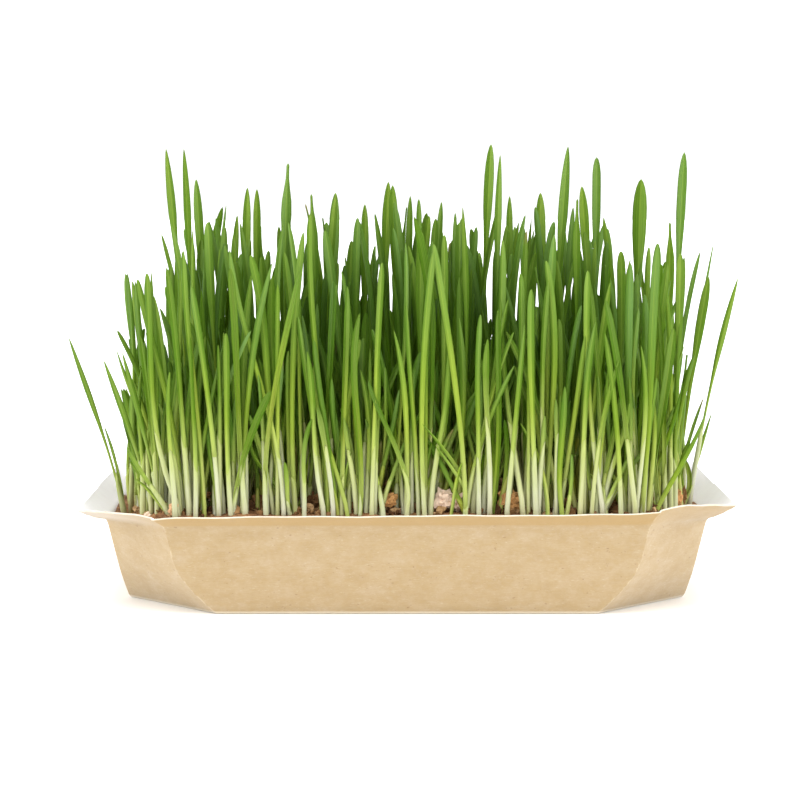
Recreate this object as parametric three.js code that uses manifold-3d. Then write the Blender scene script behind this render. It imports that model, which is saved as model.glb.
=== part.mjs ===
// Tray of wheatgrass: a folded paperboard tray, the growing medium that fills it, and
// bunches of young grass standing in it.
// Millimetres, +Z up. The origin is the centre of the tray's base, on the surface it
// stands on. +X runs along the tray and -Y is the front long side.
import * as THREE from 'three';
import { mergeVertices } from 'three/addons/utils/BufferGeometryUtils.js';
import Module from 'manifold-3d';

const wasm = await Module();
wasm.setup();

// ---- Driving dimensions -------------------------------------------------------------
const TRAY_LENGTH = 225;          // over the two end flanges
const TRAY_DEPTH = 157.5;         // over the front and back rims
const BASE_LENGTH = 197.4;
const BASE_DEPTH = 129;
const FRONT_KINK_HEIGHT = 13.5;   // where the corner panels' creases change their slope,
const END_KINK_HEIGHT = 9.5;      // beside the long walls and beside the end walls
const WALL_HEIGHT = 31;           // fold between the walls and the flanges
const RIM_HEIGHT = 35.4;          // top edge of the long sides
const FLANGE_HEIGHT = 36.8;       // outer edge of the end flanges
const BOARD = 1.0;                // paperboard thickness
const GAP = 0.35;                 // clearance between pieces that touch
const SOIL_HEIGHT = 30.5;         // flat of the growing medium between the root blocks
const BLOCK_BOTTOM = 24;          // underside of the root blocks
const BLOCK_TOP = 31.4;           // shoulder of the root blocks
const BLOCK_HALF_X = 9.7;
const BLOCK_HALF_Y = 12.0;
const BLOCK_CORNER = 4;           // chamfer on the corners of the root blocks
const PANEL_CORNER = 11;          // the same, on corners that face a corner panel
const ROOT_SINK = 5;              // how deep a shoot stands in its root block
const ROOT_MARGIN = 1.6;          // least distance from a shoot to its block's outline
const STEM_WIDTH = 2.3;
const STEM_THICK = 1.9;
const BLADE_THICK = 1.05;
const SHOOTS_PER_BUNCH = 10;
const TRIES = 240;                // draws in all for the shoots of one bunch
const SEED = 4904;

// ---- Seeded random numbers ----------------------------------------------------------
let randomState = SEED;
function random() {
  randomState = (randomState + 0x6D2B79F5) | 0;
  let t = Math.imul(randomState ^ (randomState >>> 15), 1 | randomState);
  t = (t + Math.imul(t ^ (t >>> 7), 61 | t)) ^ t;
  return ((t ^ (t >>> 14)) >>> 0) / 4294967296;
}
const between = (low, high) => low + (high - low) * random();
const mix = (a, b, t) => a + (b - a) * t;

// ---- Solids from plain vertex lists -------------------------------------------------
function geometryFrom(points, triangles) {
  const geometry = new THREE.BufferGeometry();
  geometry.setAttribute('position', new THREE.Float32BufferAttribute(points.flat(), 3));
  geometry.setIndex(triangles.flat());
  return geometry;
}

function solidFrom(geometry) {
  const bare = geometry.clone();
  bare.deleteAttribute('normal');
  bare.deleteAttribute('uv');
  const merged = mergeVertices(bare, 1e-4);
  return new wasm.Manifold(new wasm.Mesh({
    numProp: 3,
    vertProperties: new Float32Array(merged.attributes.position.array),
    triVerts: new Uint32Array(merged.index.array),
  }));
}

function geometryOf(solid) {
  const mesh = solid.getMesh();
  const geometry = new THREE.BufferGeometry();
  geometry.setAttribute('position', new THREE.Float32BufferAttribute(mesh.vertProperties, 3));
  geometry.setIndex(Array.from(mesh.triVerts));
  return geometry;
}

// Rings of equal point counts, lofted in order. Each band is split the same way, so two
// lofts with matching rings have matching faces.
function loftBands(ringCount, pointCount, firstIndex, flip) {
  const triangles = [];
  for (let ring = 0; ring < ringCount - 1; ring += 1) {
    for (let point = 0; point < pointCount; point += 1) {
      const next = (point + 1) % pointCount;
      const low = firstIndex + ring * pointCount;
      const high = low + pointCount;
      const first = [low + point, low + next, high + next];
      const second = [low + point, high + next, high + point];
      triangles.push(flip ? first.reverse() : first, flip ? second.reverse() : second);
    }
  }
  return triangles;
}

function ringCap(start, pointCount, flip) {
  const triangles = [];
  for (let point = 1; point < pointCount - 1; point += 1) {
    const face = [start, start + point, start + point + 1];
    triangles.push(flip ? face.reverse() : face);
  }
  return triangles;
}

// ---- The tray's eight-cornered outline at each level --------------------------------
// front: the crease between a long wall and a corner panel; end: the crease between the
// corner panel and an end wall. Both are given for one quarter, as [x, y, z].
const TRAY_LEVELS = [
  { front: [65.5, BASE_DEPTH / 2, 0], end: [BASE_LENGTH / 2, 28, 0] },
  { front: [78.6, 68.9, FRONT_KINK_HEIGHT], end: [100.8, 37, END_KINK_HEIGHT] },
  { front: [82, 74.5, WALL_HEIGHT], end: [105.2, 42, WALL_HEIGHT - 1] },
  { front: [83.6, 76.4, 33.0], end: [107.9, 53, 32.2] },
  { front: [86, TRAY_DEPTH / 2, RIM_HEIGHT], end: [TRAY_LENGTH / 2, 66.75, FLANGE_HEIGHT] },
];

// Corners in counterclockwise order from above. inset moves every wall inwards.
function trayRing(level, inset, lift) {
  const slant = inset * Math.tan(Math.PI / 8);
  const [frontX, frontY, frontZ] = level.front;
  const [endX, endY, endZ] = level.end;
  const quarter = [
    [endX - inset, endY - slant, endZ + lift],
    [frontX - slant, frontY - inset, frontZ + lift],
  ];
  const ring = [];
  for (const [signX, signY, order] of [[1, 1, 1], [-1, 1, -1], [-1, -1, 1], [1, -1, -1]]) {
    const corners = order === 1 ? quarter : [...quarter].reverse();
    ring.push(...corners.map(([x, y, z]) => [signX * x, signY * y, z]));
  }
  return ring;
}

// The open tray: an outer skin up to the rim and an inner skin back down to the floor.
function makeTray() {
  const outer = TRAY_LEVELS.map((level) => trayRing(level, 0, 0));
  const lifts = [BOARD, 0.1, 0.2, 0.45, 0.35];
  const insets = [BOARD, BOARD, BOARD, BOARD, 0.75];
  const inner = TRAY_LEVELS.map((level, index) => trayRing(level, insets[index], lifts[index]));
  const pointCount = outer[0].length;
  const skinSize = outer.length * pointCount;
  const triangles = [
    ...loftBands(outer.length, pointCount, 0, false),
    ...loftBands(inner.length, pointCount, skinSize, true),
    ...ringCap(0, pointCount, true),
    ...ringCap(skinSize, pointCount, false),
  ];
  const outerRim = skinSize - pointCount;
  const innerRim = outerRim + skinSize;
  for (let point = 0; point < pointCount; point += 1) {
    const next = (point + 1) % pointCount;
    triangles.push([outerRim + point, outerRim + next, innerRim + next]);
    triangles.push([outerRim + point, innerRim + next, innerRim + point]);
  }
  return geometryFrom([...outer, ...inner].flat(), triangles);
}

// ---- Where the bunches stand --------------------------------------------------------
const ROWS = [
  { y: -56, columns: 8, pitch: 22.6 },
  { y: -28, columns: 9, pitch: 22.9 },
  { y: 0, columns: 9, pitch: 22.9 },
  { y: 28, columns: 9, pitch: 22.9 },
  { y: 56, columns: 8, pitch: 22.6 },
];

function bunchPlaces() {
  const places = [];
  for (const row of ROWS) {
    for (let column = 0; column < row.columns; column += 1) {
      places.push([(column - (row.columns - 1) / 2) * row.pitch, row.y]);
    }
  }
  return places;
}

// Chamfered rectangle, counterclockwise, grown by margin on every side. Blocks whose
// outer corner would meet a corner panel of the tray get a larger chamfer there.
function blockOutline([x, y], margin) {
  const halfX = BLOCK_HALF_X + margin;
  const halfY = BLOCK_HALF_Y + margin;
  const corners = [[1, 1], [-1, 1], [-1, -1], [1, -1]];
  return corners.flatMap(([signX, signY]) => {
    const nearPanel = Math.abs(x) > 70 && Math.abs(y) > 50 && signX * x > 0 && signY * y > 0;
    const cut = nearPanel ? PANEL_CORNER : BLOCK_CORNER;
    const alongX = [x + signX * halfX, y + signY * (halfY - cut)];
    const alongY = [x + signX * (halfX - cut), y + signY * halfY];
    return signX * signY > 0 ? [alongX, alongY] : [alongY, alongX];
  });
}

function blockSolid(place, margin, bottom, shoulder, dome) {
  const outline = blockOutline(place, margin);
  const points = [
    ...outline.map(([x, y]) => [x, y, bottom]),
    ...outline.map(([x, y]) => [x, y, shoulder]),
    [...place, shoulder + dome],
  ];
  const count = outline.length;
  const triangles = [...loftBands(2, count, 0, false), ...ringCap(0, count, true)];
  for (let point = 0; point < count; point += 1) {
    triangles.push([count + point, count + (point + 1) % count, 2 * count]);
  }
  return solidFrom(geometryFrom(points, triangles));
}

// ---- The growing medium -------------------------------------------------------------
// It fills the tray up to the fold, with a plain hole for each root block and low chips
// of coarse husk lying on it.
const CHIPS = [
  { at: [13.5, -70.6], size: [4.2, 1.7, 3.2], turn: 0.3 },
  { at: [37, -70.4], size: [3.8, 1.8, 3.4], turn: 1.1 },
  { at: [-4, -70.6], size: [3.0, 1.6, 2.6], turn: 2.0 },
  { at: [-30, -70.7], size: [3.4, 1.5, 2.2], turn: 0.7 },
  { at: [-62, -70.7], size: [3.0, 1.5, 2.0], turn: 1.6 },
  { at: [62, -70.7], size: [3.2, 1.5, 2.4], turn: 2.4 },
  { at: [0, -41.8], size: [6.5, 1.5, 3.0], turn: 0.1 },
  { at: [45, -41.8], size: [4.0, 1.4, 2.8], turn: 0.2 },
  { at: [-50, 14], size: [4.2, 1.5, 2.6], turn: 0.1 },
  { at: [30, 41.8], size: [4.6, 1.5, 2.6], turn: 0.1 },
];

function makeSoil(places) {
  const inset = BOARD + GAP;
  const rings = [
    trayRing(TRAY_LEVELS[0], inset, BOARD + GAP),
    trayRing(TRAY_LEVELS[1], inset + 0.1, GAP),
  ];
  const wallTop = trayRing(TRAY_LEVELS[2], inset + 0.3, 0);
  rings.push(wallTop.map(([x, y]) => [x, y, SOIL_HEIGHT]));
  const count = rings[0].length;
  const triangles = [
    ...loftBands(rings.length, count, 0, false),
    ...ringCap(0, count, true),
    ...ringCap((rings.length - 1) * count, count, false),
  ];
  let soil = solidFrom(geometryFrom(rings.flat(), triangles));
  for (const { at, size, turn } of CHIPS) {
    const chip = new THREE.IcosahedronGeometry(1, 0);
    chip.rotateZ(turn);
    chip.scale(...size);
    chip.translate(at[0], at[1], SOIL_HEIGHT - 0.2);
    soil = soil.add(solidFrom(chip));
  }
  const holes = places.map((place) => {
    return blockSolid(place, GAP, BLOCK_BOTTOM - GAP, SOIL_HEIGHT + 12, 0);
  });
  return geometryOf(soil.subtract(wasm.Manifold.union(holes)));
}

// ---- The shoots ---------------------------------------------------------------------
// Height of the crop along the tray, as [x, height] from left to right.
const SKYLINE = [
  [-125, 92], [-104, 98], [-94, 108], [-84, 122], [-78, 142], [-60, 143], [-40, 145],
  [0, 143], [60, 144], [88, 138], [98, 124], [108, 112], [125, 100],
];

function skyline(x) {
  const after = SKYLINE.findIndex(([place]) => place > x);
  const [lowX, lowHeight] = SKYLINE[after - 1];
  const [highX, highHeight] = SKYLINE[after];
  return mix(lowHeight, highHeight, (x - lowX) / (highX - lowX));
}

// Blades that stand out of the crop: [root x, root y, tip x, tip y, tip height, width].
const STANDOUTS = [
  [-101, -36, -118, -46, 94, 2.4], [-95, -50, -104, -60, 87, 2.8], [-87, -62, -97, -66, 90, 2.6],
  [-95, 0, -102, 0, 114, 2.8], [-95, 28, -102, 28, 110, 2.8], [-87, -22, -91, -20, 101, 3.0],
  [-76, -22, -85, -20, 159, 3.4], [-77, 3, -80, 6, 159, 3.0], [-73, 25, -78, 22, 148, 3.4],
  [-66, -50, -69, -56, 134, 3.2], [-61, 6, -58, 8, 145, 3.4], [-58, 50, -57, 54, 144, 3.2],
  [-44, 20, -45, 24, 154, 4.2], [-32, -58, -42, -62, 124, 2.8], [-33, -20, -34, -14, 143, 3.4],
  [-29, 22, -27, 26, 143, 4.2], [-20, -50, -27, -56, 131, 3.2], [-13, 2, -15, 6, 139, 3.4],
  [-8, 24, -7, 28, 147, 3.8], [-2, -6, -5, -2, 146, 3.4], [3, -58, 4, -62, 131, 3.2],
  [22, -58, 20, -62, 139, 2.4], [28, 24, 31, 28, 161, 3.8], [30, -30, 32, -26, 157, 2.8],
  [39, 5, 37, 10, 142, 2.8], [52, 22, 49, 26, 143, 4.0], [54, -6, 58, 0, 160, 3.8],
  [59, -52, 57, -58, 142, 3.0], [69, 50, 68, 52, 145, 3.8], [67, 3, 70, 6, 156, 3.4],
  [71, -52, 74, -56, 124, 3.2], [85, 24, 87, 28, 148, 5.6], [88, -8, 90, -4, 125, 4.0],
  [97, 24, 99, 28, 132, 3.4], [96, 0, 100, 6, 158, 3.6], [96, -22, 97, -20, 122, 3.0],
  [98, -6, 109, -6, 113, 3.4], [100, -34, 115, -38, 114, 2.6], [100, -26, 108, -30, 66, 1.9],
];

// The height along a shoot, the share of its blade width and how round it is there.
const STATIONS = [
  { rise: 0, blade: 0, round: 1 },
  { rise: 0.26, blade: 0.12, round: 0.75 },
  { rise: 0.52, blade: 0.92, round: 0 },
  { rise: 0.8, blade: 0.86, round: 0 },
];

// The edges of a shoot at its stations. Its root end is straight and its tip leans most.
function makeShoot({ root, tip, width, facing, twist, bow, lean }) {
  const bottom = BLOCK_TOP - ROOT_SINK;
  const height = tip[2] - bottom;
  const across = Math.atan2(tip[1] - root[1], tip[0] - root[0]) + Math.PI / 2;
  const centre = (rise) => {
    const reach = rise ** lean;
    const side = bow * Math.sin(Math.PI * rise);
    return [
      mix(root[0], tip[0], reach) + side * Math.cos(across),
      mix(root[1], tip[1], reach) + side * Math.sin(across),
      bottom + height * rise,
    ];
  };
  const stations = STATIONS.map(({ rise, blade, round }) => {
    const angle = facing + twist * rise;
    const half = mix(STEM_WIDTH, width, blade) / 2;
    return {
      centre: centre(rise),
      along: [Math.cos(angle) * half, Math.sin(angle) * half],
      thick: mix(BLADE_THICK, STEM_THICK, round),
      half,
    };
  });
  return { stations, tip: centre(1), top: tip[2] };
}

// The two edge points of a shoot at a given height, and how thick it is there.
function sliceAt(shoot, height) {
  const { stations, tip, top } = shoot;
  if (height >= top) return null;
  const after = stations.findIndex((station) => station.centre[2] > height);
  const low = stations[after > 0 ? after - 1 : stations.length - 1];
  const high = after > 0 ? stations[after] : { centre: tip, along: [0, 0], thick: 0 };
  const share = (height - low.centre[2]) / (high.centre[2] - low.centre[2]);
  const x = mix(low.centre[0], high.centre[0], share);
  const y = mix(low.centre[1], high.centre[1], share);
  const alongX = mix(low.along[0], high.along[0], share);
  const alongY = mix(low.along[1], high.along[1], share);
  return [x - alongX, y - alongY, x + alongX, y + alongY, mix(low.thick, high.thick, share)];
}

const SLICE_LOWEST = 30;
const SLICE_PITCH = 4;
const SLICE_COUNT = 34;
function slicesOf(shoot) {
  return Array.from({ length: SLICE_COUNT }, (_, index) => {
    return sliceAt(shoot, SLICE_LOWEST + index * SLICE_PITCH);
  });
}

function pointToSegment(px, py, [ax, ay, bx, by]) {
  const dx = bx - ax;
  const dy = by - ay;
  const share = ((px - ax) * dx + (py - ay) * dy) / (dx * dx + dy * dy + 1e-12);
  const held = Math.min(1, Math.max(0, share));
  return Math.hypot(px - ax - held * dx, py - ay - held * dy);
}

function slicesCross(a, b) {
  const side = (ox, oy, px, py, qx, qy) => (px - ox) * (qy - oy) - (py - oy) * (qx - ox);
  const a1 = side(b[0], b[1], b[2], b[3], a[0], a[1]);
  const a2 = side(b[0], b[1], b[2], b[3], a[2], a[3]);
  const b1 = side(a[0], a[1], a[2], a[3], b[0], b[1]);
  const b2 = side(a[0], a[1], a[2], a[3], b[2], b[3]);
  return a1 * a2 < 0 && b1 * b2 < 0;
}

const AIR = 0.35;                 // least air between two shoots
function tooClose(slices, others) {
  return others.some((other) => slices.some((slice, level) => {
    const rival = other[level];
    if (!slice || !rival) return false;
    const reach = 0.66 * (slice[4] + rival[4]) + AIR;
    if (Math.hypot(slice[0] - rival[0], slice[1] - rival[1]) > 16) return false;
    if (slicesCross(slice, rival)) return true;
    return Math.min(
      pointToSegment(slice[0], slice[1], rival),
      pointToSegment(slice[2], slice[3], rival),
      pointToSegment(rival[0], rival[1], slice),
      pointToSegment(rival[2], rival[3], slice),
    ) < reach;
  }));
}

// One three-sided shoot: a flat face and a keel, from its sunk root to a sharp tip.
function shootSolid({ stations, tip }) {
  const points = [];
  for (const { centre, along, thick, half } of stations) {
    const outX = -along[1] / half;
    const outY = along[0] / half;
    const [x, y, z] = centre;
    const back = thick / 3;
    points.push([x - along[0] - outX * back, y - along[1] - outY * back, z]);
    points.push([x + along[0] - outX * back, y + along[1] - outY * back, z]);
    points.push([x + outX * (thick - back), y + outY * (thick - back), z]);
  }
  points.push(tip);
  const last = (stations.length - 1) * 3;
  const triangles = [
    ...loftBands(stations.length, 3, 0, false),
    ...ringCap(0, 3, true),
    ...[0, 1, 2].map((side) => [last + side, last + (side + 1) % 3, last + 3]),
  ];
  return solidFrom(geometryFrom(points, triangles));
}

// How far a point stands inside a counterclockwise outline.
function depthInside(outline, x, y) {
  return Math.min(...outline.map(([ax, ay], index) => {
    const [bx, by] = outline[(index + 1) % outline.length];
    const length = Math.hypot(bx - ax, by - ay);
    return ((bx - ax) * (y - ay) - (by - ay) * (x - ax)) / length;
  }));
}

// Draws a root towards the middle of its block until it stands well inside the outline.
function rootInside(place, root) {
  const outline = blockOutline(place, 0);
  let [x, y] = root;
  while (depthInside(outline, x, y) < ROOT_MARGIN) {
    x = mix(x, place[0], 0.1);
    y = mix(y, place[1], 0.1);
  }
  return [x, y];
}

// Shoots pass over the rim of the tray without touching it.
const RIM_AIR = 2.2;
const RIM_SLICES = 3;
function touchesTray(slices) {
  const outline = trayRing(TRAY_LEVELS[2], BOARD + RIM_AIR, 0);
  return slices.slice(0, RIM_SLICES).some((slice) => {
    return depthInside(outline, slice[0], slice[1]) < 0
      || depthInside(outline, slice[2], slice[3]) < 0;
  });
}

// A shoot drawn by the seeded rule, rooted somewhere on one block. It leans a little
// outwards, more so near the ends of the tray, and stands clear of every other shoot.
function drawShoot(place) {
  const root = rootInside(place, [
    place[0] + between(-1, 1) * BLOCK_HALF_X,
    place[1] + between(-1, 1) * BLOCK_HALF_Y,
  ]);
  const tipX = root[0] * 1.03 + between(-7, 7);
  const tipY = root[1] * 1.03 + between(-7, 7);
  const height = skyline(tipX) * mix(0.66, 1.0, random() ** 0.75);
  return {
    root,
    tip: [tipX, tipY, height],
    width: between(3.0, 4.6),
    facing: between(-0.9, 0.9),
    twist: between(-0.7, 0.7),
    bow: between(-3, 3),
    lean: between(1.1, 1.8),
  };
}

function nearestPlace(places, [x, y]) {
  const spans = places.map(([px, py]) => {
    return Math.max(Math.abs(x - px) / BLOCK_HALF_X, Math.abs(y - py) / BLOCK_HALF_Y);
  });
  return spans.indexOf(Math.min(...spans));
}

function plantShoots(places) {
  const bunches = places.map(() => []);
  const taken = [];
  for (const [rootX, rootY, tipX, tipY, height, width] of STANDOUTS) {
    const home = nearestPlace(places, [rootX, rootY]);
    const root = rootInside(places[home], [rootX, rootY]);
    const shoot = makeShoot({
      root, tip: [tipX, tipY, height], width, facing: between(-0.4, 0.4),
      twist: between(-0.4, 0.4), bow: between(-1, 1), lean: 1.3,
    });
    const slices = slicesOf(shoot);
    if (!tooClose(slices, taken)) {
      taken.push(slices);
      bunches[home].push(shoot);
    }
  }
  places.forEach((place, home) => {
    for (let attempt = 0; attempt < TRIES; attempt += 1) {
      if (bunches[home].length >= SHOOTS_PER_BUNCH) break;
      const shoot = makeShoot(drawShoot(place));
      const slices = slicesOf(shoot);
      if (!tooClose(slices, taken) && !touchesTray(slices)) {
        taken.push(slices);
        bunches[home].push(shoot);
      }
    }
  });
  return bunches;
}

function makeBunch(place, shoots) {
  const dome = between(0.8, 1.8);
  const block = blockSolid(place, 0, BLOCK_BOTTOM, BLOCK_TOP, dome);
  const bunch = wasm.Manifold.union([block, ...shoots.map(shootSolid)]);
  return geometryOf(bunch);
}

// ---- Assembly -----------------------------------------------------------------------
const paperboard = new THREE.MeshStandardMaterial({ color: 0xdfc49f, roughness: 0.85, metalness: 0 });
const medium = new THREE.MeshStandardMaterial({ color: 0x4c3220, roughness: 0.95, metalness: 0 });
const leaf = new THREE.MeshStandardMaterial({ color: 0x5f9a2c, roughness: 0.5, metalness: 0 });

const wheatgrassTray = new THREE.Group();
function addPiece(name, geometry, material) {
  const mesh = new THREE.Mesh(geometry, material);
  mesh.name = name;
  wheatgrassTray.add(mesh);
}

const places = bunchPlaces();
addPiece('tray', makeTray(), paperboard);
addPiece('soil', makeSoil(places), medium);
plantShoots(places).forEach((shoots, index) => {
  const name = `bunch_${String(index + 1).padStart(2, '0')}`;
  addPiece(name, makeBunch(places[index], shoots), leaf);
});

export default wheatgrassTray;
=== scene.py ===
# %% [markdown]
# # A tray of wheatgrass
# Wheatgrass is sold growing: seeds are sown close together on damp fibre in a shallow board tray, and in
# ten days they stand as a dense green brush. This lesson dresses the plain solids of that object. The
# solids fix every size, so each piece here is built around them and none of them is moved.

# %% Load the solids
import math

import bmesh
import bpy
import numpy as np
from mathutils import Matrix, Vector, noise


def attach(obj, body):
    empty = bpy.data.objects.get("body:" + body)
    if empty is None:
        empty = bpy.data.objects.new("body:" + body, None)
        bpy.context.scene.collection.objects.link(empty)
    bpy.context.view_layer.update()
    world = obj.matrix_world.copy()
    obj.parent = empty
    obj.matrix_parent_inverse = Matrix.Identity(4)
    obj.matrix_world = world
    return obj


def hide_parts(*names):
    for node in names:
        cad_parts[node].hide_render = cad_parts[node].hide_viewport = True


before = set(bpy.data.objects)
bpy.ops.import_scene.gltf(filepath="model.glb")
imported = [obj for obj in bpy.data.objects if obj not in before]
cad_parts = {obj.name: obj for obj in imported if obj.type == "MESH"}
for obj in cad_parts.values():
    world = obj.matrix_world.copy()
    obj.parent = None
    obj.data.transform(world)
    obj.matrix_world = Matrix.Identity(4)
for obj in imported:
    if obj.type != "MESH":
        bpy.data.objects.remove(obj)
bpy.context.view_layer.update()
MM = 0.001

# %% [markdown]
# ## Camera, light and floor
# A product picture of a low tray is taken from far away with a long lens, a little above the rim, so the
# front wall stays square. Soft light from all round comes from the world colour. One broad lamp shines
# down from above and a little from the front, and a slightly cooler one at each side lights the corner
# panels and the flanges. The floor is nearly white and lies just under the tray.

# %% Camera
FRAME_PIXELS = 800
FOCAL_PIXELS = 2700.0
HORIZON_ROW = 159.1
SENSOR_MM = 36.0
CAMERA_PLACE = (-2.35, -980.8, 155.4)

lens = bpy.data.cameras.new("camera")
lens.sensor_width = SENSOR_MM
lens.lens = FOCAL_PIXELS / FRAME_PIXELS * SENSOR_MM
pitch = math.atan((FRAME_PIXELS / 2 - HORIZON_ROW) / FOCAL_PIXELS)
camera = bpy.data.objects.new("camera", lens)
camera.location = [value * MM for value in CAMERA_PLACE]
camera.rotation_euler = (math.pi / 2 - pitch, 0, 0)
bpy.context.collection.objects.link(camera)
bpy.context.scene.camera = camera
bpy.context.scene.view_settings.view_transform = "Standard"
print("lens", round(lens.lens, 1), "mm, looking down", round(math.degrees(pitch), 2), "degrees")


# %% Soft studio light
WORLD_STRENGTH = 1.22
SUN_ANGLE = 50.0                    # a lamp as broad as this, in degrees, casts very soft shadows
WHITE = (1.0, 1.0, 1.0)
COOL = (0.92, 0.97, 1.0)


def add_sun(name, travels, strength, colour):
    """A distant soft lamp whose light travels along a direction."""
    data = bpy.data.lights.new(name, "SUN")
    data.energy = strength
    data.color = colour
    data.angle = math.radians(SUN_ANGLE)
    lamp = bpy.data.objects.new(name, data)
    lamp.rotation_euler = Vector(travels).to_track_quat("-Z", "Y").to_euler()
    bpy.context.collection.objects.link(lamp)


world = bpy.data.worlds.new("studio")
world.use_nodes = True
world.node_tree.nodes["Background"].inputs["Color"].default_value = (1, 1, 1, 1)
world.node_tree.nodes["Background"].inputs["Strength"].default_value = WORLD_STRENGTH
bpy.context.scene.world = world
add_sun("key_light", (0.0, 0.38, -0.92), 1.8, WHITE)
add_sun("side_light_left", (0.9, 0.26, -0.32), 1.88, COOL)
add_sun("side_light_right", (-0.9, 0.26, -0.32), 1.86, COOL)
print("three lamps, each", SUN_ANGLE, "degrees broad, and a world of strength", WORLD_STRENGTH)

# %% [markdown]
# ## A helper for materials
# A material in Blender is a small network of nodes. Building one takes the same few steps each time: a
# noise, a range of it, a colour mixed in by that range. The class below gives each step a short name, so
# that a finish further down reads like a recipe.


# %% Colours as a screen shows them
def srgb(red, green, blue):
    """A colour as it is read off a screen, 0 to 255, made linear."""
    def linear(value):
        share = value / 255
        return share / 12.92 if share <= 0.04045 else ((share + 0.055) / 1.055) ** 2.4
    return (linear(red), linear(green), linear(blue), 1.0)


print("128, half way up a screen's scale, is a light of", round(srgb(128, 128, 128)[0], 3))


# %% Helpers for materials
class Finish:
    """A material under construction: a Principled shader and the nodes that feed it."""

    def __init__(self, name, roughness, specular=0.3):
        self.material = bpy.data.materials.new(name)
        self.material.use_nodes = True
        self.tree = self.material.node_tree
        self.shader = self.tree.nodes["Principled BSDF"]
        self.shader.inputs["Roughness"].default_value = roughness
        self.shader.inputs["Specular IOR Level"].default_value = specular

    def node(self, kind, **settings):
        made = self.tree.nodes.new("ShaderNode" + kind)
        for name, value in settings.items():
            setattr(made, name, value)
        return made

    def link(self, source, target):
        self.tree.links.new(source, target)

    def attribute(self, name):
        return self.node("Attribute", attribute_name=name).outputs["Fac"]

    def place(self, scale=(1, 1, 1)):
        """Object coordinates in metres, stretched by scale."""
        coordinates = self.node("TexCoord").outputs["Object"]
        mapping = self.node("Mapping")
        mapping.inputs["Scale"].default_value = scale
        self.link(coordinates, mapping.inputs["Vector"])
        return mapping.outputs["Vector"]

    def noise(self, vector, scale, detail=3.0, rough=0.55):
        made = self.node("TexNoise")
        made.inputs["Scale"].default_value = scale
        made.inputs["Detail"].default_value = detail
        made.inputs["Roughness"].default_value = rough
        self.link(vector, made.inputs["Vector"])
        return made.outputs["Fac"]

    def ramp(self, value, *stops):
        """stops are (position, colour) pairs."""
        made = self.node("ValToRGB")
        elements = made.color_ramp.elements
        while len(elements) < len(stops):
            elements.new(0.5)
        for element, (position, colour) in zip(elements, stops):
            element.position = position
            element.color = colour
        self.link(value, made.inputs["Fac"])
        return made.outputs["Color"]

    def grey(self, value, low, high, dark=0.0, light=1.0):
        """value from low to high becomes dark to light."""
        made = self.node("MapRange")
        made.inputs["From Min"].default_value = low
        made.inputs["From Max"].default_value = high
        made.inputs["To Min"].default_value = dark
        made.inputs["To Max"].default_value = light
        self.link(value, made.inputs["Value"])
        return made.outputs["Result"]

    def maths(self, operation, first, second):
        made = self.node("Math", operation=operation)
        for socket, value in zip(made.inputs, (first, second)):
            if isinstance(value, (int, float)):
                socket.default_value = value
            else:
                self.link(value, socket)
        return made.outputs["Value"]

    def mixed(self, share, first, second):
        """Two colours, sockets or values, mixed by a share from 0 to 1."""
        made = self.node("Mix", data_type="RGBA")
        targets = (made.inputs[0], made.inputs[6], made.inputs[7])
        for socket, value in zip(targets, (share, first, second)):
            if isinstance(value, (int, float, tuple)):
                socket.default_value = value
            else:
                self.link(value, socket)
        return made.outputs[2]

    def tinted(self, base, value, low, high, most, tint):
        """The base colour, with up to a share of most of a tint where value runs from low to high."""
        return self.mixed(self.grey(value, low, high, 0.0, most), base, tint)

    def colour(self, socket):
        self.link(socket, self.shader.inputs["Base Color"])

    def bump(self, height, distance_mm, strength=1.0):
        made = self.node("Bump")
        made.inputs["Strength"].default_value = strength
        made.inputs["Distance"].default_value = distance_mm * MM
        self.link(height, made.inputs["Height"])
        self.link(made.outputs["Normal"], self.shader.inputs["Normal"])


# %% The floor
FLOOR_HALF = 6.0                    # in metres
FLOOR_DROP = 0.0002                 # how far it lies under the tray, so that the two share no plane
floor_finish = Finish("floor_paint", 0.9, 0.1)
floor_tone = floor_finish.noise(floor_finish.place(), 3.0)
floor_finish.colour(floor_finish.ramp(floor_tone, (0.3, srgb(250, 250, 250)), (0.7, srgb(252, 252, 252))))
floor_mesh = bpy.data.meshes.new("floor")
floor_corners = [(FLOOR_HALF * x, FLOOR_HALF * y, 0) for x, y in ((-1, -1), (1, -1), (1, 1), (-1, 1))]
floor_mesh.from_pydata(floor_corners, [], [(0, 1, 2, 3)])
floor_mesh.materials.append(floor_finish.material)
floor = bpy.data.objects.new("floor", floor_mesh)
floor.location.z = -FLOOR_DROP
bpy.context.collection.objects.link(floor)
print("floor", 2 * FLOOR_HALF, "m across")


# %% A helper that makes every mesh
def add_piece(name, points_mm, faces, materials, slots=None, values=None, crease=None):
    """A mesh object from points in millimetres. slots gives each face's material, values holds named
    numbers for each point that the materials read, and crease is the angle above which an edge is sharp."""
    mesh = bpy.data.meshes.new(name)
    mesh.from_pydata(np.asarray(points_mm, dtype=float) * MM, [], faces)
    for material in materials:
        mesh.materials.append(material)
    if slots is not None:
        mesh.polygons.foreach_set("material_index", np.asarray(slots, dtype=np.int32))
    for key, numbers in (values or {}).items():
        layer = mesh.attributes.new(key, "FLOAT", "POINT")
        layer.data.foreach_set("value", np.asarray(numbers, dtype=np.float32))
    mesh.polygons.foreach_set("use_smooth", [True] * len(mesh.polygons))
    if crease is not None:
        mesh.set_sharp_from_angle(angle=math.radians(crease))
    mesh.update()
    piece = bpy.data.objects.new(name, mesh)
    bpy.context.collection.objects.link(piece)
    return piece


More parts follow.
